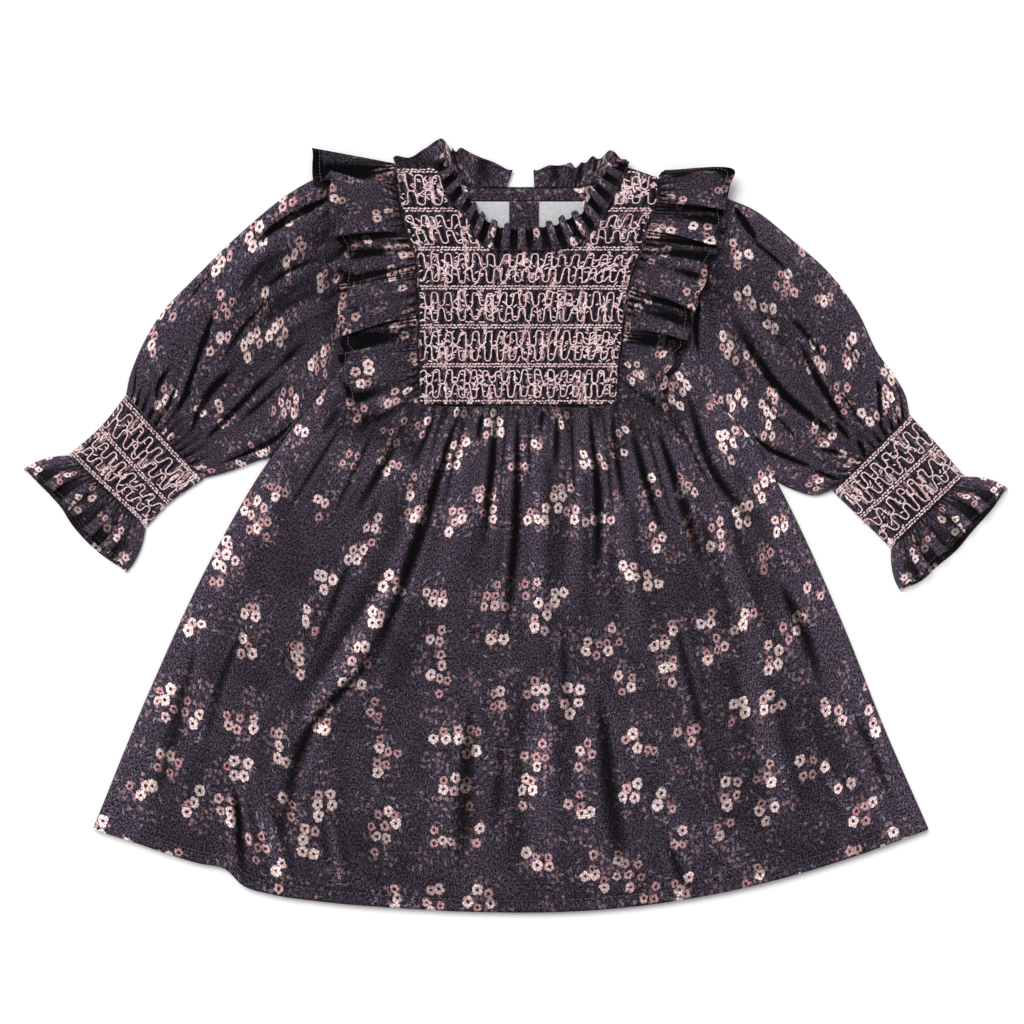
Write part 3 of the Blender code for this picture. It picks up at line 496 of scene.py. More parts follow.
# each look is a material and its slot in the record
printed = (brushedCotton("printedBrushedCotton", "#0b090d", "#584c5b", 0.97), "printed_cloth")
# the same brushed cotton in darker tones: painted shade of the deep pleats
pleated = (brushedCotton("pleatedBrushedCotton", "#0c090c", "#4c424c", 0.96), "smocked_cloth")
pinkFloss = (cottonFloss("pinkEmbroideryFloss", "#c497a2", "#ffeaec"), "smocked_cloth")
hemThread = (cottonFloss("greySewingThread", "#4d4650", "#7d7680"), "printed_cloth")
lining = (feltedLining("feltedCottonLining", "#a9a9ac", "#cfcfd1"), "lining")
print("materials made")


def addPiece(piece, look, nodes=(), **cut):
    material, slot = look
    piece.data.materials.append(material)
    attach(piece, "root")
    if nodes:
        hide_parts(*nodes)


def camelName(node):
    first, *rest = node.split("_")
    return first + "".join(word.capitalize() for word in rest)


def addCloth(node, grid, cut, look=printed, name=None, shape=None, **sheet):
    # a thin shell that stands for one node of the frame
    addPiece(clothShell(name or camelName(node), grid, cut, **(shape or {})), look, [node], **sheet)


# Outlines, each a row per point: x, y.
waistLine = [(-118, 100), (-106.5, 92), (-91, 85), (-63.5, 79), (0, 78), (66, 79), (82, 84),
             (95, 92), (111, 106.5)]
hemLine = [(-279, -200.5), (-255, -208), (-208.5, -223), (-192, -226.5), (-179, -238),
           (-162.5, -243), (-129.5, -248), (-76.5, -252.5), (-24, -255), (29, -255), (82, -251),
           (134.5, -242.5), (187.5, -229.5), (227, -217), (272, -200.5)]
skirtLeft = [(-118, 100), (-139.5, 74), (-160.5, 46), (-201.5, -23.5), (-241.5, -109),
             (-279, -200.5)]
skirtRight = [(111, 106.5), (129.5, 85.5), (157.5, 54.5), (172.5, 27.5), (214.5, -63),
              (243.5, -135.5), (272, -200.5)]
panelLeft = [(-79, 237.5), (-76.5, 214), (-71.5, 193), (-66, 178), (-64, 148), (-63.5, 115),
             (-63.5, 79.2)]
panelRight = [(93, 228.5), (93, 214), (87, 199.5), (82, 181), (76.5, 166.5), (72.5, 148),
              (69.5, 122), (67.5, 105.5), (66, 79.2)]
panelTop = [(-79, 237.5), (-54, 236.5), (0, 236), (74, 235), (93, 228.5)]
neckLine = [(-54, 243), (-49.5, 228.5), (-45.5, 217), (-39.5, 209.5), (-32.5, 203),
            (-28.5, 195), (-24, 187), (-16, 182), (7.5, 181), (30.5, 182), (39, 184), (45, 188),
            (51, 194.5), (56, 202.5), (60.5, 209.5), (64.5, 217), (68, 224), (72, 232.5),
            (75, 243)]

# Skirt: two flared panels gathered into the waist seam.
skirt = {
    "across": 290, "down": 150,
    "gathers": 22, "fineGathers": 64,
    "waistCut": 400.0, "hemCut": 570.0,      # mm of flat cloth at the waist and the hem
    "edgeRoll": 3.0,
    "longCut": 330.0,
    "hemStitch": 8.0,                        # mm from the hem's edge
    "stitchEvery": 2.8, "stitchLong": 1.9,
    "backTuck": 3.4,                         # mm that the back lies inside the front's sides
    "backWall": 1.2,
    "lift": 1.15,                            # folds stand this much higher than in the solid
    "folds": [
        (-115, 78, -123, 66, -130, 56, 5, 6, -1.8), (-69, 77, -86, 42, -108, 2, 5, 9, -2.4),
        (-53, 74, -60, 56, -70, 36, 4, 5, -1.5), (-38, 74, -64, -8, -95, -96, 6, 12, -3.6),
        (-95, -89, -132, -129, -158, -219, 10, 16, -2.2), (-22, 75, -24, 62, -25, 48, 4, 4, -1.8),
        (-13, 75, -17, 25, -23, -23, 5, 8, -3.0), (1, 76, 0, 3, -8, -86, 5, 9, -3.0),
        (18, 76, 17, 68, 16, 56, 4, 4, -1.5), (27, 75, 27, 56, 26, 33, 4, 6, -2.0),
        (48, 75, 54, 16, 53, -43, 5, 9, -3.0), (63, 75, 66, 46, 73, 3, 5, 7, -2.2),
        (74, 72, 85, 29, 99, -14, 5, 8, -3.0), (92, 66, 110, 13, 125, -37, 6, 9, -3.0),
        (98, 82, 106, 64, 115, 46, 5, 5, -1.6), (112, 90, 129, 36, 159, -4, 6, 10, -2.6),
        (174, -38, 191, -76, 203, -116, 10, 12, -1.5), (-70, -23, -120, -104, -160, -215, 10, 16, 2.2),
        (-50, 62, -77, -23, -95, -56, 7, 9, 1.6), (-30, 69, -40, 3, -57, -76, 8, 12, 1.4),
        (13, 69, 13, -10, 9, -103, 8, 13, 1.4), (40, 69, 40, 3, 36, -76, 7, 11, 1.3),
        (63, 56, 72, -23, 82, -103, 7, 12, 1.3), (121, 36, 148, -50, 174, -129, 9, 14, 1.5),
        (-209, -76, -228, -142, -248, -202, 12, 18, -1.2), (-30, -116, -34, -182, -40, -251, 12, 18, -1.2),
        (55, -109, 62, -175, 72, -250, 12, 16, -1.3), (148, -76, 168, -155, 187, -227, 12, 16, 1.4),
        (16, -109, 16, -182, 19, -253, 14, 18, 1.2), (220, -116, 240, -162, 253, -205, 12, 14, -1.0),
        (-185, -175, -182, -208, -179, -238, 8, 10, -1.5), (-168, -182, -159, -215, -152, -243, 8, 10, 1.5),
    ],
    # narrow creases that only the fine cloth shows
    "creases": [
        (-48, 76, -60, 30, -74, -20, 2.4, 4.5, -1.1), (-32, 77, -40, 44, -50, 4, 2.2, 4.0, -1.0),
        (-6, 77, -9, 40, -12, 2, 2.2, 3.6, -0.9), (9, 77, 9, 46, 8, 10, 2.2, 3.8, -0.9),
        (36, 77, 38, 30, 37, -20, 2.4, 4.2, -1.1), (57, 77, 61, 40, 64, -4, 2.2, 4.2, -1.0),
        (82, 76, 93, 36, 108, -10, 2.4, 4.6, -1.2), (101, 84, 118, 44, 140, 4, 2.6, 5.0, -1.2),
        (-84, 82, -104, 40, -128, -10, 2.6, 5.0, -1.1), (-100, 88, -128, 44, -158, -4, 2.6, 5.0, -1.0),
        (-108, -20, -124, -62, -136, -96, 4, 6, -0.8), (-176, -60, -196, -110, -208, -160, 5, 8, -0.7),
        (30, -60, 33, -110, 38, -150, 5, 8, -0.7), (104, -60, 116, -112, 130, -170, 5, 8, -0.8),
        (-10, -130, -12, -176, -16, -222, 5, 8, -0.6), (198, -150, 214, -180, 228, -212, 5, 8, 0.8),
        (-122, -196, -118, -222, -116, -246, 4, 7, 0.8), (100, -206, 106, -226, 112, -244, 5, 8, -0.7),
    ],
}


def skirtHeights(plan, across, down):
    x, y = plan[..., 0], plan[..., 1]
    s = np.meshgrid(across, down)[0]
    side = np.minimum(np.hypot(x - plan[:, :1, 0], y - plan[:, :1, 1]),
                      np.hypot(x - plan[:, -1:, 0], y - plan[:, -1:, 1]))
    below = np.hypot(x - plan[:1, :, 0], y - plan[:1, :, 1])
    hemAway = np.hypot(x - plan[-1:, :, 0], y - plan[-1:, :, 1])
    pressed = 1 - 0.75 * softStep((np.abs(x) - 56) / 14) * softStep((46 - below) / 22)
    fall = np.exp(-below / (20 + 10 * np.sin(31 * s + 0.7)))
    size = 0.85 + 0.6 * np.sin(19 * s + 1.0)
    gathers = size * fall * np.cos(tau * (skirt["gathers"] * s + 0.55 * np.sin(23 * s)))
    gathers += 0.45 * np.exp(-below / 9) * np.cos(tau * (skirt["fineGathers"] * s + 0.6 * np.sin(17 * s)))
    fullness = 1.2 + 1.8 * softStep(below / 30) - 0.9 * softStep((below - 150) / 150)
    folds = skirt["lift"] * foldHeights(x, y, skirt["folds"]) + foldHeights(x, y, skirt["creases"])
    swell = 0.32 * unevenness(x, y, 30, 1.3) + 0.12 * unevenness(x, y, 9, 4.1)
    height = 3.2 + pressed * (fullness + gathers + folds) + swell
    height = np.maximum(height, 3.0 + 0.15 * fullness)
    fromStitch = hemAway - skirt["hemStitch"]
    pucker = hump(fromStitch, 4.5) * np.sin(tau * 150 * s + 3 * np.sin(40 * s))
    height += 0.22 * (fromStitch < 0) - 0.4 * hump(fromStitch, 0.9) + 0.1 * pucker
    roll = np.sqrt(np.clip(1 - (1 - np.minimum(side / skirt["edgeRoll"], 1)) ** 2, 0, 1))
    return 1.0 + (height - 1.0) * roll


def makeSkirt():
    across = shares(skirt["across"])
    across = 0.5 - 0.5 * np.cos(np.pi * across) * 0.35 + (across - 0.5) * 0.65      # closer at the sides
    down = shares(skirt["down"]) ** 1.12
    plan = edgePatch(waistLine, hemLine, skirtLeft, skirtRight, across, down)
    top = np.dstack([plan, skirtHeights(plan, across, down)])
    s, t = np.meshgrid(across, down)
    wide = skirt["waistCut"] + (skirt["hemCut"] - skirt["waistCut"]) * t
    addCloth("skirt_front", top, np.dstack([(s - 0.5) * wide, -skirt["longCut"] * t]), flat=(0.57, 0.33),
             area=0.16, held="gathered", rests_on=["skirt_back"])
    sewHem(top, skirt["stitchEvery"], skirt["stitchLong"])
    share, tuck = shares(40), skirt["backTuck"]
    left = shiftedCurve(smoothCurve(skirtLeft, share), tuck)
    right = shiftedCurve(smoothCurve(skirtRight, share), -tuck)
    hem = smoothCurve(hemLine, np.linspace(0.01, 0.99, 60)) + np.array([0, 2.5])
    waist = smoothCurve(waistLine, np.linspace(0.04, 0.96, 30)) - np.array([0, 0.2])
    hem = [p for p in hem if left[-1][0] + 3 < p[0] < right[-1][0] - 3]
    left[-1][1] += 2.5
    right[-1][1] += 2.5
    outline = [p for p in [*left, *hem, *right[::-1], *waist[::-1]] if p[1] < 120]
    addPiece(flatPlate("skirtBack", outline, 0.0, skirt["backWall"]), printed, ["skirt_back"],
             flat=(0.57, 0.33), area=0.16, held="laid")


makeSkirt()
print("skirt made")

# Smocked chest panel.
panel = {
    "pleats": 31, "columnsPerPleat": 8, "rows": 100,
    "under": 3.0, "wall": 1.3, "pleatHigh": 1.7,
    "bottom": 79.2, "lineStep": 25.6,        # y of the lowest stitched line, and the next ones
    "lines": 7,
    "pleatCut": 12.0,                        # mm of flat cloth taken up by one pleat
}


def panelPlan(share, y):
    left = smoothCurve(panelLeft, shares(80))
    right = smoothCurve(panelRight, shares(80))
    xLeft = np.interp(-y, -left[:, 1], left[:, 0])
    xRight = np.interp(-y, -right[:, 1], right[:, 0])
    return xLeft + share * (xRight - xLeft)


def panelTopY(x):
    over = smoothCurve(panelTop, shares(60))
    neck = smoothCurve(neckLine, shares(120))
    return np.minimum(np.interp(x, over[:, 0], over[:, 1]),
                      np.interp(x, neck[:, 0], neck[:, 1], left=400, right=400))


def smockedHeight(share, y):
    line = (y - panel["bottom"]) / panel["lineStep"]
    puff = np.sin(math.pi * line) ** 2
    ridge = 0.5 + 0.5 * np.cos(tau * panel["pleats"] * share)
    return (panel["under"] + panel["wall"]
            + panel["pleatHigh"] * (0.4 + 0.6 * puff) * (2 * ridge - ridge**2) - 0.2 * (1 - puff))


def makePanel():
    count = panel["pleats"] * panel["columnsPerPleat"] + 1
    share = shares(count)
    topY = np.full(count, 200.0)
    for _ in range(12):
        topY = 0.5 * topY + 0.5 * panelTopY(panelPlan(share, topY))
    down = shares(panel["rows"])[:, None]
    y = topY[None] + (panel["bottom"] - topY[None]) * down
    s = np.broadcast_to(share[None], y.shape)
    x = panelPlan(s, y) + 0.25 * np.sin(tau * (y - panel["bottom"]) / 8.5) * np.sin(tau * 15.5 * s)
    top = np.dstack([x, y, smockedHeight(s, y) + 0.15 * unevenness(x, y, 24, 2.2)])
    under = np.dstack([x, y, np.full_like(x, panel["under"])])
    cut = np.dstack([s * panel["pleats"] * panel["pleatCut"], y])
    addCloth("bodice_front_smocked", top, cut, pleated, "smockedPanel", {"under": under, "reach": (1, 3)},
             flat=(0.17, 0.16), area=0.022, held="gathered", rests_on=["bodice_back"])


def stitchPaths(place, pleats, lineShares, bandHigh, seed, filling, allowed=None):
    # place(share across, share along) gives x, y, z on the pleats; lines are cable rows, waves lie between
    paths = []
    draw = np.random.default_rng(seed)
    chance = draw.standard_normal

    def addRun(across, along, radius):
        spots = place(across, along)
        keep = np.ones(len(across), bool) if allowed is None else allowed(spots)
        ends = np.flatnonzero(np.diff(keep)) + 1
        for run, kept in zip(np.split(np.column_stack([spots, radius]), ends), np.split(keep, ends)):
            if kept[0] and len(run) > 4:
                paths.append(run)

    step = abs(lineShares[1] - lineShares[0])
    bend = np.linspace(-1, 1, 5)
    for line in lineShares:
        for row in (-1, 1):
            for bead in range(2 * pleats):
                middle = (bead + 0.5 + 0.22 * row + 0.1 * chance()) / (2 * pleats)
                slant = (0.34 if bead % 2 else -0.2) * bend
                rise = (row * 0.86 + slant + 0.14 * chance()) / bandHigh * step
                size = 0.62 + 0.1 * chance()
                addRun(np.clip(middle + 0.2 * bend / pleats, 0.003, 0.997), line + rise,
                       np.clip(size * (1 - 0.5 * bend**2), 0.25, 0.8))
    waves = pleats / 2
    for line, nextLine in zip(lineShares[:-1], lineShares[1:]):
        for centre, phase in ((0.31, 0.5), (0.69, 0.0)):
            count = int(waves * 18)
            u = np.linspace(0.006, 0.994, count)
            beat = u * waves + phase + 0.07 * np.sin(11 * u + 5 * line + seed)
            swing = np.tanh(1.25 * np.sin(tau * beat)) / np.tanh(1.25)
            knots = np.arange(0, int(waves) + 3)
            size = np.interp(beat, knots, 0.172 + 0.022 * chance(len(knots)))
            lean = np.interp(beat, knots, 0.5 * chance(len(knots)))
            across = u + (0.11 * lean * swing - 0.058 * np.sin(2 * tau * beat)) / waves
            along = line + (nextLine - line) * (centre + size * swing)
            radius = 0.46 + 0.13 * np.cos(math.pi * np.arange(count)) + 0.04 * chance(count)
            addRun(across, along, np.clip(radius, 0.25, 0.7))
        for pleat in range(pleats):
            full = filling * (0.75 + 0.5 * math.sin(0.55 * pleat + 3.0 * line + seed))
            for k in range(max(1, int(round(full + chance())))):
                middle = (pleat + 0.5 + 0.3 * chance()) / pleats
                height = line + (nextLine - line) * np.clip(0.5 + 0.2 * chance(), 0.1, 0.9)
                reach = 0.26 * (0.6 + 0.6 * draw.random()) / pleats
                rise = (0.7 * chance() * bend + 0.3 * (1 - bend**2)) / bandHigh
                addRun(np.clip(middle + reach * bend, 0.005, 0.995),
                       height + rise * abs(nextLine - line), 0.5 - 0.16 * bend**2)
    return paths


def panelStitchPlace(across, along):
    y = panel["bottom"] + along * panel["lineStep"]
    x = panelPlan(across, y)
    ridge = 0.5 + 0.5 * np.cos(tau * panel["pleats"] * across)
    puff = np.sin(math.pi * along) ** 2
    z = panel["under"] + panel["wall"] + panel["pleatHigh"] * (0.4 + 0.6 * puff) + 0.22 - 0.5 * (1 - ridge)
    return np.column_stack([x, y, z])


def panelStitchAllowed(spots):
    x, y = spots[:, 0], spots[:, 1]
    left, right = panelPlan(np.zeros_like(y), y), panelPlan(np.ones_like(y), y)
    return ((y < panelTopY(x) - 0.6) & (y > panel["bottom"] + 0.4) & (x > left + 0.5) & (x < right - 0.5))


makePanel()
panelLines = [0.055] + [float(k) for k in range(1, panel["lines"])]
panelStitches = threadPiece("smockingStitches", stitchPaths(
    panelStitchPlace, panel["pleats"], panelLines, panel["lineStep"], 3, 9.0, panelStitchAllowed))
addPiece(panelStitches, pinkFloss)
print("smocked panel made")

# Plain front sides and back of the bodice.
bodice = {"armholeLeft": -112.2, "armholeRight": 109.2, "shoulder": 236.0, "backNeck": 222.6,
          "openingX": 11.75, "openingEnd": 120.0, "openingHalf": 0.1, "wall": 1.2}


def makeBodice():
    wall, left, right = bodice["wall"], bodice["armholeLeft"], bodice["armholeRight"]
    for side, armhole, edge, share, tuck, area in (
            ("left", left, panelLeft, (0.02, 0.255), 4.0, 0.0074),
            ("right", right, panelRight, (0.98, 0.765), -4.0, 0.0052)):
        inner = smoothCurve(edge, np.linspace(0.02, 0.95, 24)) + np.array([tuck, 0])
        lower = smoothCurve(waistLine, np.linspace(*share, 14)) + np.array([0, 0.9])
        outline = [*inner, *lower[::-1], (armhole, 113), (armhole, inner[0][1] - 1.0)]
        addPiece(flatPlate("sideFront" + side.capitalize(), outline, wall + layerGap, wall), printed,
                 ["side_front_" + side], flat=(0.05, 0.16), area=area, held="laid", rests_on=["bodice_back"])
    waist = smoothCurve(waistLine, np.linspace(0.015, 0.985, 40)) + np.array([0, 0.5])
    slit, half, neck, end = (bodice[key] for key in ("openingX", "openingHalf", "backNeck", "openingEnd"))
    outline = [(left, 113), (left, bodice["shoulder"]), (-79, 237.5), (-58, 238.5), (-46, 234),
               (-38, 228.5), (-32, 224.5), (-29, neck), (slit - half, neck), (slit - half, end),
               (slit + half, end), (slit + half, neck), (46, neck + 0.8), (54, 227.5), (63, 232), (72, 236),
               (93, 228), (right, 227), (right, 116), (right + 2.0, 111), *waist[::-1]]
    addPiece(flatPlate("bodiceBack", outline, 0.0, wall), printed, ["bodice_back"], flat=(0.22, 0.16),
             area=0.032, held="laid")


makeBodice()

# What shows inside the neck: low corner x, y, high corner x, y, underside, thickness.
insideNeck = {
    "lining_left": (-37, 184.5, 11.65, 212.9, 1.5, 1.0),
    "lining_right": (11.85, 184.5, 50, 212.9, 1.5, 1.0),
    "neckband_left": (-33, 213.4, 11.65, 221.6, 1.5, 1.4),
    "neckband_right": (11.85, 213.4, 45.5, 221.6, 1.5, 1.4),
    "placket_left": (-4.5, 191.5, 11.65, 213.0, 2.8, 1.0),
    "placket_right": (11.85, 191.5, 15, 213.0, 2.8, 1.0),
}
narrowest = 10.1           # mm, the least width that a cut cloth is given
leastShare = 0.301         # of its width times its length, the least area that it is given


def makeInsideNeck():
    for node, (x0, y0, x1, y1, under, thick) in insideNeck.items():
        wide, long = x1 - x0, y1 - y0
        s, t = np.meshgrid(*(shares(max(8, int(size / 0.8))) for size in (wide, long)))
        x, y = x0 + wide * s, y1 + (y0 - y1) * t
        rim = np.minimum(np.minimum(x - x0, x1 - x), np.minimum(y - y0, y1 - y))
        z = under + thick - 0.35 * (1 - softStep(rim / 0.9)) + 0.12 * unevenness(x, y, 12, 3.0)
        if node.startswith("placket"):
            z -= 0.25 * hump(rim - 2.0, 0.5)
            z -= 0.5 * hump(x - (bodice["openingX"] - 9.5 * (y - y0) / long), 0.8)
        flatWide, flatLong = max(wide, narrowest), max(long, narrowest)
        area = max(wide * long, leastShare * flatWide * flatLong)
        look = lining if node.startswith("lining") else printed
        addCloth(node, np.dstack([x, y, z]), np.dstack([x, y]), look,
                 shape={"under": np.dstack([x, y, np.full_like(x, under)]), "reach": (1, 1)},
                 flat=(flatWide * mm, flatLong * mm), area=area * mm * mm, held="laid",
                 rests_on=["bodice_back"])


makeInsideNeck()
print("bodice and neck inside made")

# Neck frill: front part between the neckline and its free edge, then the two back parts.
neckFrill = {
    "waves": 17, "fineWaves": 41, "rows": 22, "longCut": 330.0,
    "edge": [(-46, 242), (-41.5, 233), (-38, 226), (-31.5, 218), (-26.5, 211), (-20.5, 201.5), (-13, 197),
             (-2, 196.5), (9, 197), (19, 197), (26.5, 197.5), (33.5, 202.5), (42, 207.5), (45.5, 214),
             (50, 221), (55.5, 227.5), (60, 234), (66, 241)],
    "seamHigh": 2.6,
    # seam x, y, free edge x, y, height there
    "backLeft": [
        (-6.5, 222.3, -2, 234, 2.5), (-14, 222.3, -12.5, 237.5, 4.2), (-21, 222.3, -22.5, 242.5, 2.2),
        (-29, 223.2, -33, 246.5, 5.0), (-34.5, 225.8, -40.5, 247, 1.6), (-39.5, 229, -44, 248, 3.0),
        (-45, 231.5, -49.5, 255, 7.0), (-53, 235.6, -60, 248.5, 6.0), (-63.5, 235.8, -68.5, 243.5, 3.5),
        (-79, 236.0, -81, 241.5, 2.6),
    ],
    "backRight": [
        (12, 222.3, 11.5, 234, 2.5), (19, 222.3, 20.5, 236, 4.4), (25, 222.3, 26.5, 237.5, 2.0),
        (31.5, 222.3, 33.5, 237.5, 4.6), (39, 222.3, 40.5, 236.5, 1.6), (46, 223.2, 49, 241, 4.4),
        (51.5, 225, 56, 242.5, 2.0), (57, 227.5, 62, 247, 7.0), (63.5, 231.5, 68, 243, 6.0),
        (69.5, 236.5, 73, 238, 4.0),
    ],
}


def gatheredStrip(seam, edge, high, seamHigh, rows, gathers, wide, hemWide, seed):
    # a strip from its seam to its free edge: irregular gathers at the seam, a stitched hem at the edge
    v = shares(rows)[:, None]
    u = shares(len(seam))[None]
    grid = np.zeros((rows, len(seam), 3))
    grid[..., :2] = seam[None] + (edge - seam)[None] * v[..., None]
    rise = v ** 0.8 + 0.16 * np.sin(math.pi * v) ** 2
    grid[..., 2] = seamHigh + (high[None] - seamHigh) * rise
    uneven = 0.6 + 0.4 * np.sin(17 * u + seed) * np.sin(41 * u + 2 * seed)
    reach = 0.16 + 0.12 * (0.5 + 0.5 * np.sin(29 * u + seed))
    pinch = np.cos(tau * (gathers * u + 0.8 * np.sin(13 * u + seed)))
    grid[..., 2] += 0.6 * uneven * pinch * np.exp(-v / reach) * softStep(v / 0.05)
    crease = np.cos(tau * (0.42 * gathers * u + 0.9 * np.sin(9 * u + seed)))
    grid[..., 2] += 0.8 * uneven * crease * np.sin(math.pi * np.minimum(v * 0.75, 1)) ** 1.5
    curl = softStep((v - 0.8) / 0.2) * np.sin(tau * (0.3 * gathers * u + 0.6 * np.sin(11 * u + seed)))
    grid[..., 2] += 0.9 * curl
    away = (edge - seam) / np.maximum(np.hypot(*(edge - seam).T), 1e-6)[:, None]
    grid[..., :2] += (1.1 * curl)[..., None] * away[None]
    fromEdge = (1 - v) * np.hypot(*(edge - seam).T)[None]
    grid[..., 2] += 0.25 * (fromEdge < hemWide) - 0.45 * hump(fromEdge - hemWide, 0.55)
    return grid, np.dstack(np.meshgrid(travelled(edge), -wide * v[:, 0]))


def makeNeckFrill():
    waves = neckFrill["waves"]
    u = shares(waves * 18 + 1)
    seam = shiftedCurve(smoothCurve(neckLine, 0.02 + 0.96 * u), -1.5 * seamGap)
    edge = smoothCurve(neckFrill["edge"], u)
    wave = np.cos(tau * waves * u)
    v = shares(neckFrill["rows"])[:, None]
    reach = v * (1 + 0.10 * v * wave[None] + 0.08 * v * np.sin(23 * u)[None])
    grid = np.zeros((len(v), len(u), 3))
    grid[..., :2] = seam[None] + (edge - seam)[None] * reach[..., None]
    fine = 0.25 * np.cos(tau * neckFrill["fineWaves"] * u + 1.0)[None] * np.exp(-v / 0.3)
    sharp = np.sign(wave) * np.abs(wave) ** 0.75
    size = (1 + 0.35 * np.sin(19 * u + 0.6))[None]
    grid[..., 2] = 5.3 + 1.4 * (1 - softStep(v / 0.22)) + 1.2 * v + size * sharp[None] * (0.4 + 2.1 * v) + fine
    shove = 0.9 * np.sin(2 * (tau * waves * u))[None] * v          # folds lean over their neighbours
    grid[..., :2] += shove[..., None] * heading(edge)[None]
    shape = {"thick": frillThick, "reach": (2, 4), "shadow": 0.1}
    cut = np.dstack(np.meshgrid(neckFrill["longCut"] * u, -18 * v[:, 0] + 60))
    addCloth("neck_frill_front", grid, cut, shape=shape, flat=(0.20, 0.016), held="gathered",
             rests_on=["smockedPanel"])
    for side, long in (("left", 0.085), ("right", 0.070)):
        track = smoothCurve(neckFrill["back" + side.capitalize()], shares(200), even=True)
        grid, cut = gatheredStrip(track[:, :2], track[:, 2:4], track[:, 4], neckFrill["seamHigh"], 26, 16, 16,
                                  2.4, 1.0)
        grid[..., 2] = np.maximum(grid[..., 2], 0.75)
        addCloth("neck_frill_back_" + side, grid, cut, shape=shape, flat=(long, 0.016), held="gathered",
                 rests_on=["bodice_back"])


makeNeckFrill()
print("neck frill made")

# Shoulder frills, a row for each turn of the cloth: seam x, y, free edge x, y, height there.
shoulderFrill = {
    "columns": 420, "rows": 34, "gathers": 44, "seamHigh": 3.9, "wide": 52.0,
    "least": {"left": -114.5, "right": 111.5},        # x that the free edge reaches beside the armhole
    "left": [
        (-80.5, 237.9, -134.6, 247.8, 6.5), (-79.2, 236.0, -134.6, 236.5, 6.2),
        (-78.5, 233.4, -131.5, 223.5, 6.4), (-77.9, 226.0, -126.0, 226.8, 9.8),
        (-77.2, 219.0, -122.0, 232.0, 14.0), (-75.9, 211.5, -121.4, 217.5, 14.4),
        (-73.9, 204.9, -122.1, 199.7, 13.5), (-71.3, 196.4, -122.1, 189.1, 12.5),
        (-69.3, 192.4, -118.8, 190.4, 7.0), (-67.3, 187.8, -115.5, 184.5, 6.5),
        (-65.3, 177.2, -112.9, 171.9, 8.5), (-64.7, 169.3, -109.6, 158.7, 7.5),
        (-64.7, 165.3, -111.5, 156.1, 8.5), (-64.0, 162.0, -114.8, 154.8, 11.5),
        (-64.0, 156.1, -116.2, 146.8, 12.5), (-64.0, 148.2, -114.8, 133.7, 12.0),
        (-63.4, 140.9, -113.5, 123.8, 10.5), (-63.4, 137.0, -110.2, 127.1, 7.0),
        (-63.4, 132.3, -110.2, 123.8, 6.5), (-63.4, 125.7, -109.6, 115.2, 8.0),
        (-63.4, 119.8, -112.9, 112.5, 10.0), (-63.4, 115.2, -116.8, 109.9, 11.5),
        (-63.4, 107.2, -116.8, 99.3, 12.0), (-63.4, 99.3, -112.2, 85.5, 11.5),
        (-64.0, 91.4, -108.2, 74.2, 11.0), (-64.7, 84.8, -104.3, 64.4, 10.0),
    ],
    "right": [
        (93.1, 230.0, 97.7, 232.7, 9.0), (93.4, 228.0, 121.4, 234.0, 12.0),
        (93.7, 226.1, 141.2, 232.7, 12.5), (93.7, 220.8, 140.6, 222.1, 13.0),
        (93.1, 215.5, 138.6, 206.9, 12.5), (91.1, 210.9, 136.0, 208.2, 7.0),
        (89.1, 206.2, 137.3, 203.6, 6.5), (87.8, 202.3, 136.0, 194.4, 9.5),
        (85.8, 197.0, 130.7, 183.2, 12.0), (83.8, 192.4, 129.4, 185.8, 7.0),
        (82.5, 186.5, 132.0, 181.2, 6.5), (80.5, 178.5, 126.7, 169.3, 9.0),
        (78.5, 170.6, 122.1, 154.8, 11.5), (75.9, 161.4, 117.5, 140.9, 12.5),
        (74.6, 155.4, 114.2, 142.9, 7.0), (73.9, 150.2, 116.2, 137.6, 6.5),
        (72.6, 142.2, 114.2, 129.7, 9.0), (70.6, 133.7, 110.2, 121.1, 11.5),
        (70.0, 128.4, 106.3, 123.1, 7.0), (69.3, 123.1, 107.6, 117.8, 6.5),
        (68.6, 116.5, 104.3, 109.9, 9.5), (68.6, 109.9, 100.3, 99.3, 11.5), (68.0, 103.3, 97.0, 87.5, 12.0),
        (67.3, 96.7, 93.1, 77.5, 11.0),
    ],
}


def makeShoulderFrills():
    for side, border, shift, long in (("left", panelLeft, -2.5 * seamGap, 0.25),
                                      ("right", panelRight, 2.5 * seamGap, 0.21)):
        track = smoothCurve(shoulderFrill[side], shares(shoulderFrill["columns"]), even=True)
        seam, edge, high = track[:, :2].copy(), track[:, 2:4], track[:, 4]
        line = smoothCurve(border, shares(61))
        seam[:, 0] = np.interp(-seam[:, 1], -line[:, 1], line[:, 0]) + shift
        covers = softStep((edge[:, 1] - 110) / 8) * softStep((218 - edge[:, 1]) / 8)   # over the armhole's seam
        least = shoulderFrill["least"][side]
        short = np.maximum(np.abs(least) - np.abs(edge[:, 0]), 0)
        edge = edge + np.column_stack([np.sign(least) * short * covers, 0 * short])
        grid, cut = gatheredStrip(seam, edge, high, shoulderFrill["seamHigh"], shoulderFrill["rows"],
                                  shoulderFrill["gathers"], shoulderFrill["wide"], 3.4, 2.0)
        sewHem(grid)
        addCloth("shoulder_frill_" + side, grid, cut + np.array([30.0, 90.0]),
                 shape={"thick": frillThick, "reach": (3, 6), "shadow": 0.38}, flat=(long, 0.045),
                 held="gathered", rests_on=["side_front_" + side])


makeShoulderFrills()
print("shoulder frills made")

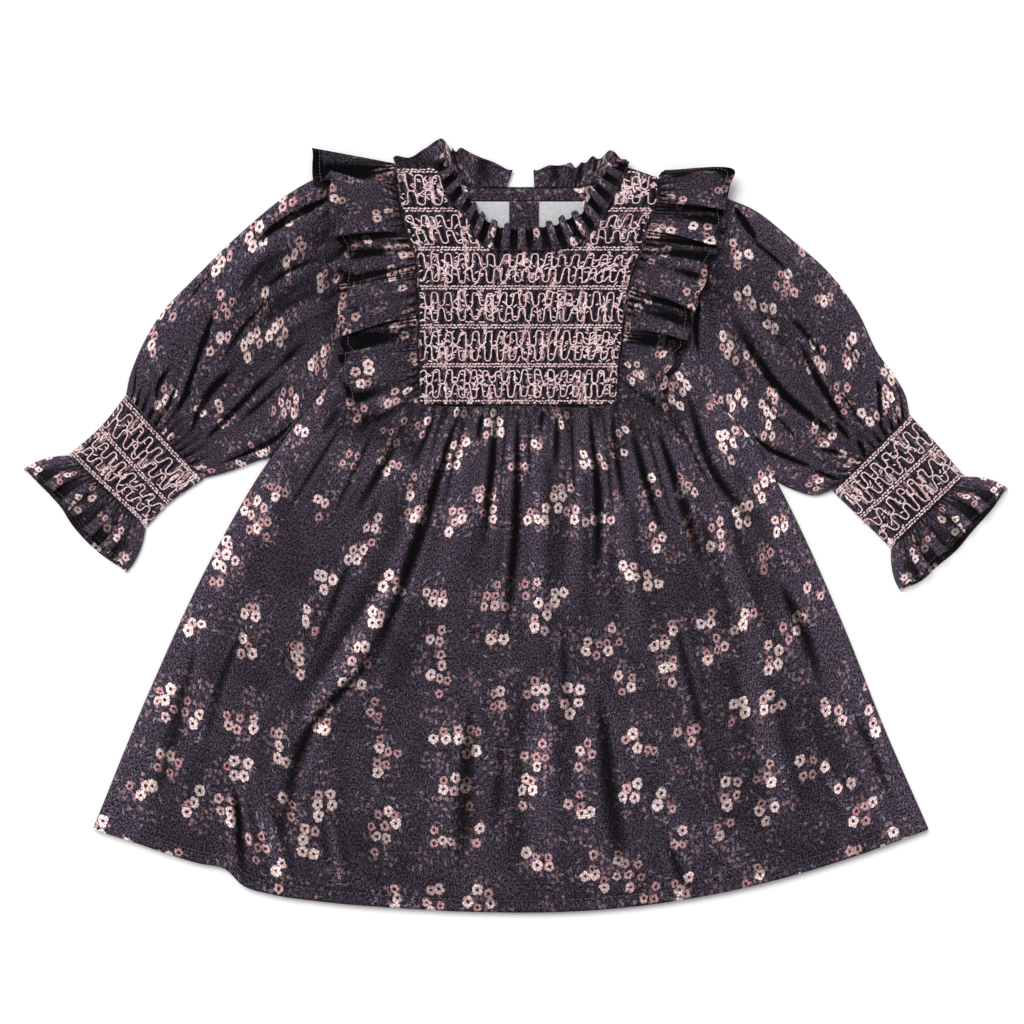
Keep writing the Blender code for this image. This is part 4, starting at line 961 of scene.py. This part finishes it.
# Sleeves: sections with upper edge x, y, lower edge x, y, height of the crown.
# None in the lower edge means that it follows the skirt's side at the share given instead.
sleeve = {
    "along": 150, "upper": 90, "under": 22,
    "cuffGathers": 15, "armholeGathers": 11, "wideCut": 130.0,
    "left": [
        (-112.5, 234, -112.5, 109, 3.4), (-132.5, 228, None, 0.0, 4.6), (-153, 216, None, 0.045, 7.5),
        (-174, 199, None, 0.10, 9.0), (-193.5, 181, None, 0.15, 10.0), (-212.5, 162, None, 0.195, 10.0),
        (-232.5, 141, -170.5, 42, 10.0), (-245.5, 120, -182, 37.5, 9.5), (-254, 100, -194, 33.5, 8.0),
        (-257.2, 85.8, -206, 30.6, 6.2),
    ],
    "right": [
        (109.5, 228, 109.5, 114, 3.4), (138.5, 215.5, None, 0.0, 4.6), (159.5, 206, None, 0.06, 7.5),
        (183, 187, None, 0.12, 9.0), (206.5, 166, None, 0.18, 10.0), (225, 141, None, 0.235, 10.0),
        (237.5, 115, None, 0.285, 10.0), (248, 100.5, 185.5, 22, 9.5), (256.5, 86, 197.5, 19.2, 8.0),
        (259.2, 73.4, 208.6, 22.8, 6.2),
    ],
    "leftFolds": [
        (-122, 215, -159, 193, -180, 173, 6, 7, -4), (-206, 55, -174, 86, -132, 128, 6, 9, -3.2),
        (-214, 62, -203, 84, -180, 108, 5, 7, -2.4), (-196, 40, -156, 60, -118, 108, 5, 9, -3.2),
        (-222, 74, -212, 100, -194, 152, 5, 7, -2.6), (-238, 80, -234, 92, -222, 110, 4, 4, -1.8),
        (-251, 88, -249, 104, -240, 126, 3, 4, -1.8), (-230, 74, -226, 84, -218, 96, 4, 4, -1.6),
        (-125, 207, -182, 165, -205, 118, 8, 9, 2.6), (-205, 118, -218, 92, -232, 72, 7, 5, 1.8),
        (-148, 112, -176, 83, -207, 58, 7, 6, 2.4), (-123, 148, -149, 135, -182, 109, 9, 9, 1.5),
        (-128, 176, -150, 166, -170, 150, 3, 5, -1.2), (-160, 150, -180, 128, -196, 104, 3, 4, -1.1),
        (-196, 170, -214, 148, -228, 128, 3, 4, -1.0), (-150, 96, -170, 78, -190, 62, 2.6, 3.4, -1.2),
        (-208, 92, -220, 80, -230, 66, 2.2, 2.6, -1.1),
    ],
    "rightFolds": [
        (143, 209, 151, 196, 162, 181, 6, 6, -3.2), (212, 58, 180, 82, 142, 134, 6, 9, -3.2),
        (218, 64, 200, 92, 182, 126, 5, 6, -2.2), (121, 148, 119, 128, 121, 109, 5, 5, -2.2),
        (198, 36, 160, 56, 128, 100, 5, 9, -3.2), (199, 51, 209, 48, 219, 43, 4, 3, -2.2),
        (209, 68, 215, 61, 222, 52, 4, 3, -2), (224, 56, 228, 49, 232, 41, 4, 3, -2.4),
        (237, 97, 239, 79, 240, 58, 5, 4, -2), (248, 97, 253, 83, 255, 69, 4, 3, -2.2),
        (195, 36, 205, 33, 217, 28, 3, 3, -2), (141, 148, 164, 122, 187, 89, 8, 8, 2),
        (161, 204, 201, 161, 227, 122, 10, 10, 1.6), (129, 115, 151, 85, 171, 56, 6, 6, 1.5),
        (150, 190, 172, 172, 190, 150, 3, 5, -1.1), (176, 140, 196, 118, 212, 94, 3, 4, -1.2),
        (160, 86, 178, 64, 196, 46, 2.6, 3.2, -1.3), (212, 130, 224, 108, 232, 88, 2.6, 3.4, -1.1),
        (212, 88, 222, 74, 230, 60, 2.2, 2.6, -1.1),
    ],
}


def flatTube(topEdge, lowEdge, crown, upperCount, underCount, extra):
    # rings of a tube that lies flat: a raised upper layer over a flat lower one
    even = shares(upperCount)
    upper = 0.5 * (0.5 - 0.5 * np.cos(np.pi * even)) + 0.5 * even
    lower = np.linspace(0.985, 0.015, underCount)
    share = np.concatenate([upper, lower])
    grid = np.zeros((len(crown), len(share), 3))
    grid[..., :2] = topEdge[:, None] + (lowEdge - topEdge)[:, None] * share[None, :, None]
    bell = (1 - np.abs(2 * upper - 1) ** 4) ** 0.5
    grid[:, :upperCount, 2] = tubeSide + (crown[:, None] - tubeSide) * bell[None]
    width = np.hypot(*(lowEdge - topEdge).T)
    window = np.minimum(1, np.minimum(upper, 1 - upper)[None] * width[:, None] / 7.0)
    grid[:, :upperCount, 2] += extra(grid[:, :upperCount, 0], grid[:, :upperCount, 1], upper) * window
    inside = slice(1, upperCount - 1)
    grid[:, inside, 2] = np.maximum(grid[:, inside, 2], underLayer + layerGap + clothThick)
    return grid, share


def makeSleeves():
    for side, border, turn in (("left", skirtLeft, -1), ("right", skirtRight, 1)):
        edge = shiftedCurve(smoothCurve(border, shares(101)), -turn * 0.6)
        topRows, lowRows, crowns = [], [], []
        for x0, y0, x1, y1, crown in sleeve[side]:
            topRows.append((x0, y0))
            lowRows.append(tuple(edge[int(round(100 * y1))]) if x1 is None else (x1, y1))
            crowns.append((crown, crown))
        along = shares(sleeve["along"])
        topEdge = smoothCurve(topRows, along, even=True)
        lowEdge = smoothCurve(lowRows, along, even=True)
        crown = smoothCurve(crowns, along, even=True)[:, 0]
        folds = sleeve[side + "Folds"]

        def extra(x, y, upper):
            a, w = along[:, None], upper[None]

            def gathered(high, far, count, beat):
                return high * np.exp(-far) * np.cos(tau * (count * w + 0.3 * np.sin(beat * w)))

            gathers = gathered(1.1, (1 - a) / 0.10, sleeve["cuffGathers"], 11)
            gathers += gathered(0.6, a / 0.07, sleeve["armholeGathers"], 9)
            return 0.9 * foldHeights(x, y, folds) + gathers + 0.35 * unevenness(x, y, 26, 2.0 + turn)

        grid, share = flatTube(topEdge, lowEdge, crown, sleeve["upper"], sleeve["under"], extra)
        cut = tubeCut(share[:sleeve["upper"]], share[sleeve["upper"]:], sleeve["wideCut"], sleeve["wideCut"],
                      travelled((topEdge + lowEdge) / 2) * -1.15)
        addCloth("sleeve_" + side, grid, cut + 200 * turn, shape={"closed": True, "shadow": 0.26},
                 flat=(0.25, 0.18), held="laid")


makeSleeves()
print("sleeves made")

# Cuffs: a row per stitched line: upper edge x, y, lower edge x, y, height.
cuff = {
    "pleats": 15, "along": 60, "upper": 212, "under": 24, "pleatHigh": 1.3, "wideCut": 200.0,
    "left": [(-257.5, 85, -206, 30, 5.8), (-272, 66.5, -226.5, 16, 6.2), (-294.5, 46, -244, -1.5, 5.4)],
    "right": [(259.5, 72.5, 209, 22, 5.8), (278, 52.5, 227, 4.5, 6.2), (295.5, 32, 247, -15, 5.4)],
}


def cuffSurface(rows, across, along):
    # x, y, z of the upper layer's pleats at shares across and along the cuff
    edges = smoothCurve(rows, along)
    topEdge, lowEdge, crown = edges[..., :2], edges[..., 2:4], edges[..., 4]
    plan = topEdge + (lowEdge - topEdge) * across[..., None]
    bell = np.clip(1 - np.abs(2 * across - 1) ** 4, 0, 1) ** 0.5
    puff = np.sin(tau * along) ** 2
    ridge = 0.5 + 0.5 * np.cos(tau * cuff["pleats"] * (across - 0.035) / 0.93)
    window = softStep(np.minimum(across, 1 - across) / 0.04)
    return plan, tubeSide + (crown - tubeSide) * bell, cuff["pleatHigh"] * (0.35 + 0.65 * puff) * window, ridge


def makeCuffs():
    for side in ("left", "right"):
        rows = cuff[side]
        along = shares(cuff["along"])
        upper = shares(cuff["upper"])
        w, a = np.meshgrid(upper, along)
        plan, base, pleat, ridge = cuffSurface(rows, w, a)
        grid = np.zeros((len(along), cuff["upper"] + cuff["under"], 3))
        grid[:, :cuff["upper"], :2] = plan
        grid[:, :cuff["upper"], 2] = base + pleat * (2 * ridge - ridge**2)
        lower = np.linspace(0.98, 0.02, cuff["under"])
        edges = smoothCurve(rows, along)
        grid[:, cuff["upper"]:, :2] = (edges[:, None, :2] + (edges[:, 2:4] - edges[:, :2])[:, None]
                                       * lower[None, :, None])
        cut = tubeCut(upper, lower, cuff["wideCut"], cuff["wideCut"], along * -52)
        addCloth("cuff_" + side, grid, cut, pleated, shape={"closed": True, "reach": (1, 3)},
                 flat=(0.18, 0.052), held="gathered")

        def place(across, along):
            plan, base, pleat, ridge = cuffSurface(rows, across, along)
            return np.column_stack([plan, base + pleat + 0.2 - 0.45 * (1 - ridge)])

        paths = stitchPaths(place, cuff["pleats"], [0.045, 0.5, 0.955], 26.0, 7 if side == "left" else 11, 3.0)
        addPiece(threadPiece("cuffStitches" + side.capitalize(), paths), pinkFloss)


makeCuffs()
print("cuffs made")

# Cuff frills: the seam's two ends, and the free edge from tip to tip, x, y.
cuffFrill = {
    "waves": 6, "upper": 240, "lower": 60, "rows": 30,
    "leftSeam": [(-294.9, 45.6), (-244.5, -1.9)],
    "leftEdge": [(-324, 36.5), (-316, 28), (-308, 20), (-299, 9.5), (-294.5, 2), (-285, -9.5),
                 (-276.5, -17.5), (-257, -31)],
    "rightSeam": [(295.9, 31.6), (247.4, -15.4)],
    "rightEdge": [(323.5, 24), (315.5, 12), (301, -4.5), (290.5, -17), (278, -27.5), (267.5, -37),
                  (253.5, -43)],
}


def makeCuffFrills():
    for side in ("left", "right"):
        seam, edge = cuffFrill[side + "Seam"], cuffFrill[side + "Edge"]
        along = shares(cuffFrill["rows"])[:, None]
        upper = shares(cuffFrill["upper"])
        ring = np.concatenate([upper, np.linspace(0.985, 0.015, cuffFrill["lower"])])
        isUpper = (np.arange(len(ring)) < len(upper))[None]
        seamPoints, edgePoints = smoothCurve(seam, ring), smoothCurve(edge, ring)
        wave = np.cos(tau * cuffFrill["waves"] * (ring - 0.06) / 0.88)[None]
        middle = np.sin(math.pi * ring)[None] ** 0.5
        sideWay = np.asarray(seam[0], float) - np.asarray(seam[1], float)
        sideWay /= np.hypot(*sideWay)
        reach = along * np.where(isUpper, 1 - 0.16 * middle * along - 0.03 * wave * along, 1.0)
        bow = 4 * along * (1 - along) * 3.0 * (0.5 - ring)[None] * 2
        lean = np.where(isUpper, 1.6 * along * np.sin(2 * tau * cuffFrill["waves"] * ring)[None] * middle, 0)
        plan = (seamPoints[None] + (edgePoints - seamPoints)[None] * reach[..., None]
                + (bow + lean)[..., None] * sideWay)
        bell = (1 - np.abs(2 * ring - 1)[None] ** 6) ** 0.5
        gathers = 0.6 * np.exp(-along / 0.25) * np.cos(tau * 24 * ring)[None] * middle
        height = tubeSide + (4.1 + 2.6 * along) * bell + 2.8 * along * wave * middle + gathers
        height += 0.2 * softStep((along - 0.9) / 0.03) - 0.35 * hump(along - 0.9, 0.03)
        height = np.where(isUpper, height, 0.0)
        inside = isUpper & (ring > 0.001)[None] & (ring < 0.999)[None]
        height = np.where(inside, np.maximum(height, underLayer + layerGap + frillThick), height)
        grid = np.dstack([plan, height])
        cut = tubeCut(upper, ring[len(upper):], 160.0, 110.0, along[:, 0] * -36)
        sewHem(grid[:, :cuffFrill["upper"]])
        addCloth("cuff_frill_" + side, grid, cut + 55.0, flat=(0.20, 0.034), held="gathered",
                 shape={"thick": frillThick, "closed": True, "reach": (2, 4), "shadow": 0.1})


makeCuffFrills()
addPiece(threadPiece("hemStitches", hemStitches, sides=4), hemThread)
print("cuff frills and hem stitches made")


# Stage, lights and camera.
studio = {
    "cameraHigh": 1.8, "frameWide": 0.67584, "frameCentre": (-0.00264, 0.00825), "sensor": 36.0,
    "sunStrength": 2.4, "sunSoft": 34.0, "sunTilt": (-27.0, -20.0, 0.0), "skyStrength": 0.55,
    "floorWide": 6.0, "floorHigh": -0.0003, "floorColour": "#f7f7f7",
}


def makeStage():
    bpy.ops.mesh.primitive_plane_add(size=studio["floorWide"], location=(0.0, 0.0, studio["floorHigh"]))
    floor = bpy.context.active_object
    floor.name = "studioFloor"
    material, tree, shader = startMaterial("paintedFloor", 0.9, 0.0)
    shader.inputs["Base Color"].default_value = linearColour(studio["floorColour"])
    floor.data.materials.append(material)
    scene = bpy.context.scene
    scene.world = scene.world or bpy.data.worlds.new("studioSky")
    scene.world.use_nodes = True
    sky = scene.world.node_tree.nodes["Background"].inputs
    sky["Color"].default_value = (1.0, 1.0, 1.0, 1.0)
    sky["Strength"].default_value = studio["skyStrength"]
    sun = bpy.data.lights.new("keyLight", "SUN")
    sun.energy, sun.angle = studio["sunStrength"], math.radians(studio["sunSoft"])
    lamp = bpy.data.objects.new("keyLight", sun)
    lamp.rotation_euler = [math.radians(turn) for turn in studio["sunTilt"]]
    lens = bpy.data.cameras.new("viewCamera")
    lens.sensor_width = studio["sensor"]
    lens.lens = studio["sensor"] * studio["cameraHigh"] / studio["frameWide"]
    camera = bpy.data.objects.new("viewCamera", lens)
    camera.location = (*studio["frameCentre"], studio["cameraHigh"])
    for thing in (lamp, camera):
        bpy.context.collection.objects.link(thing)
    scene.camera = camera
    scene.view_settings.view_transform = "Standard"


makeStage()
print("stage made")
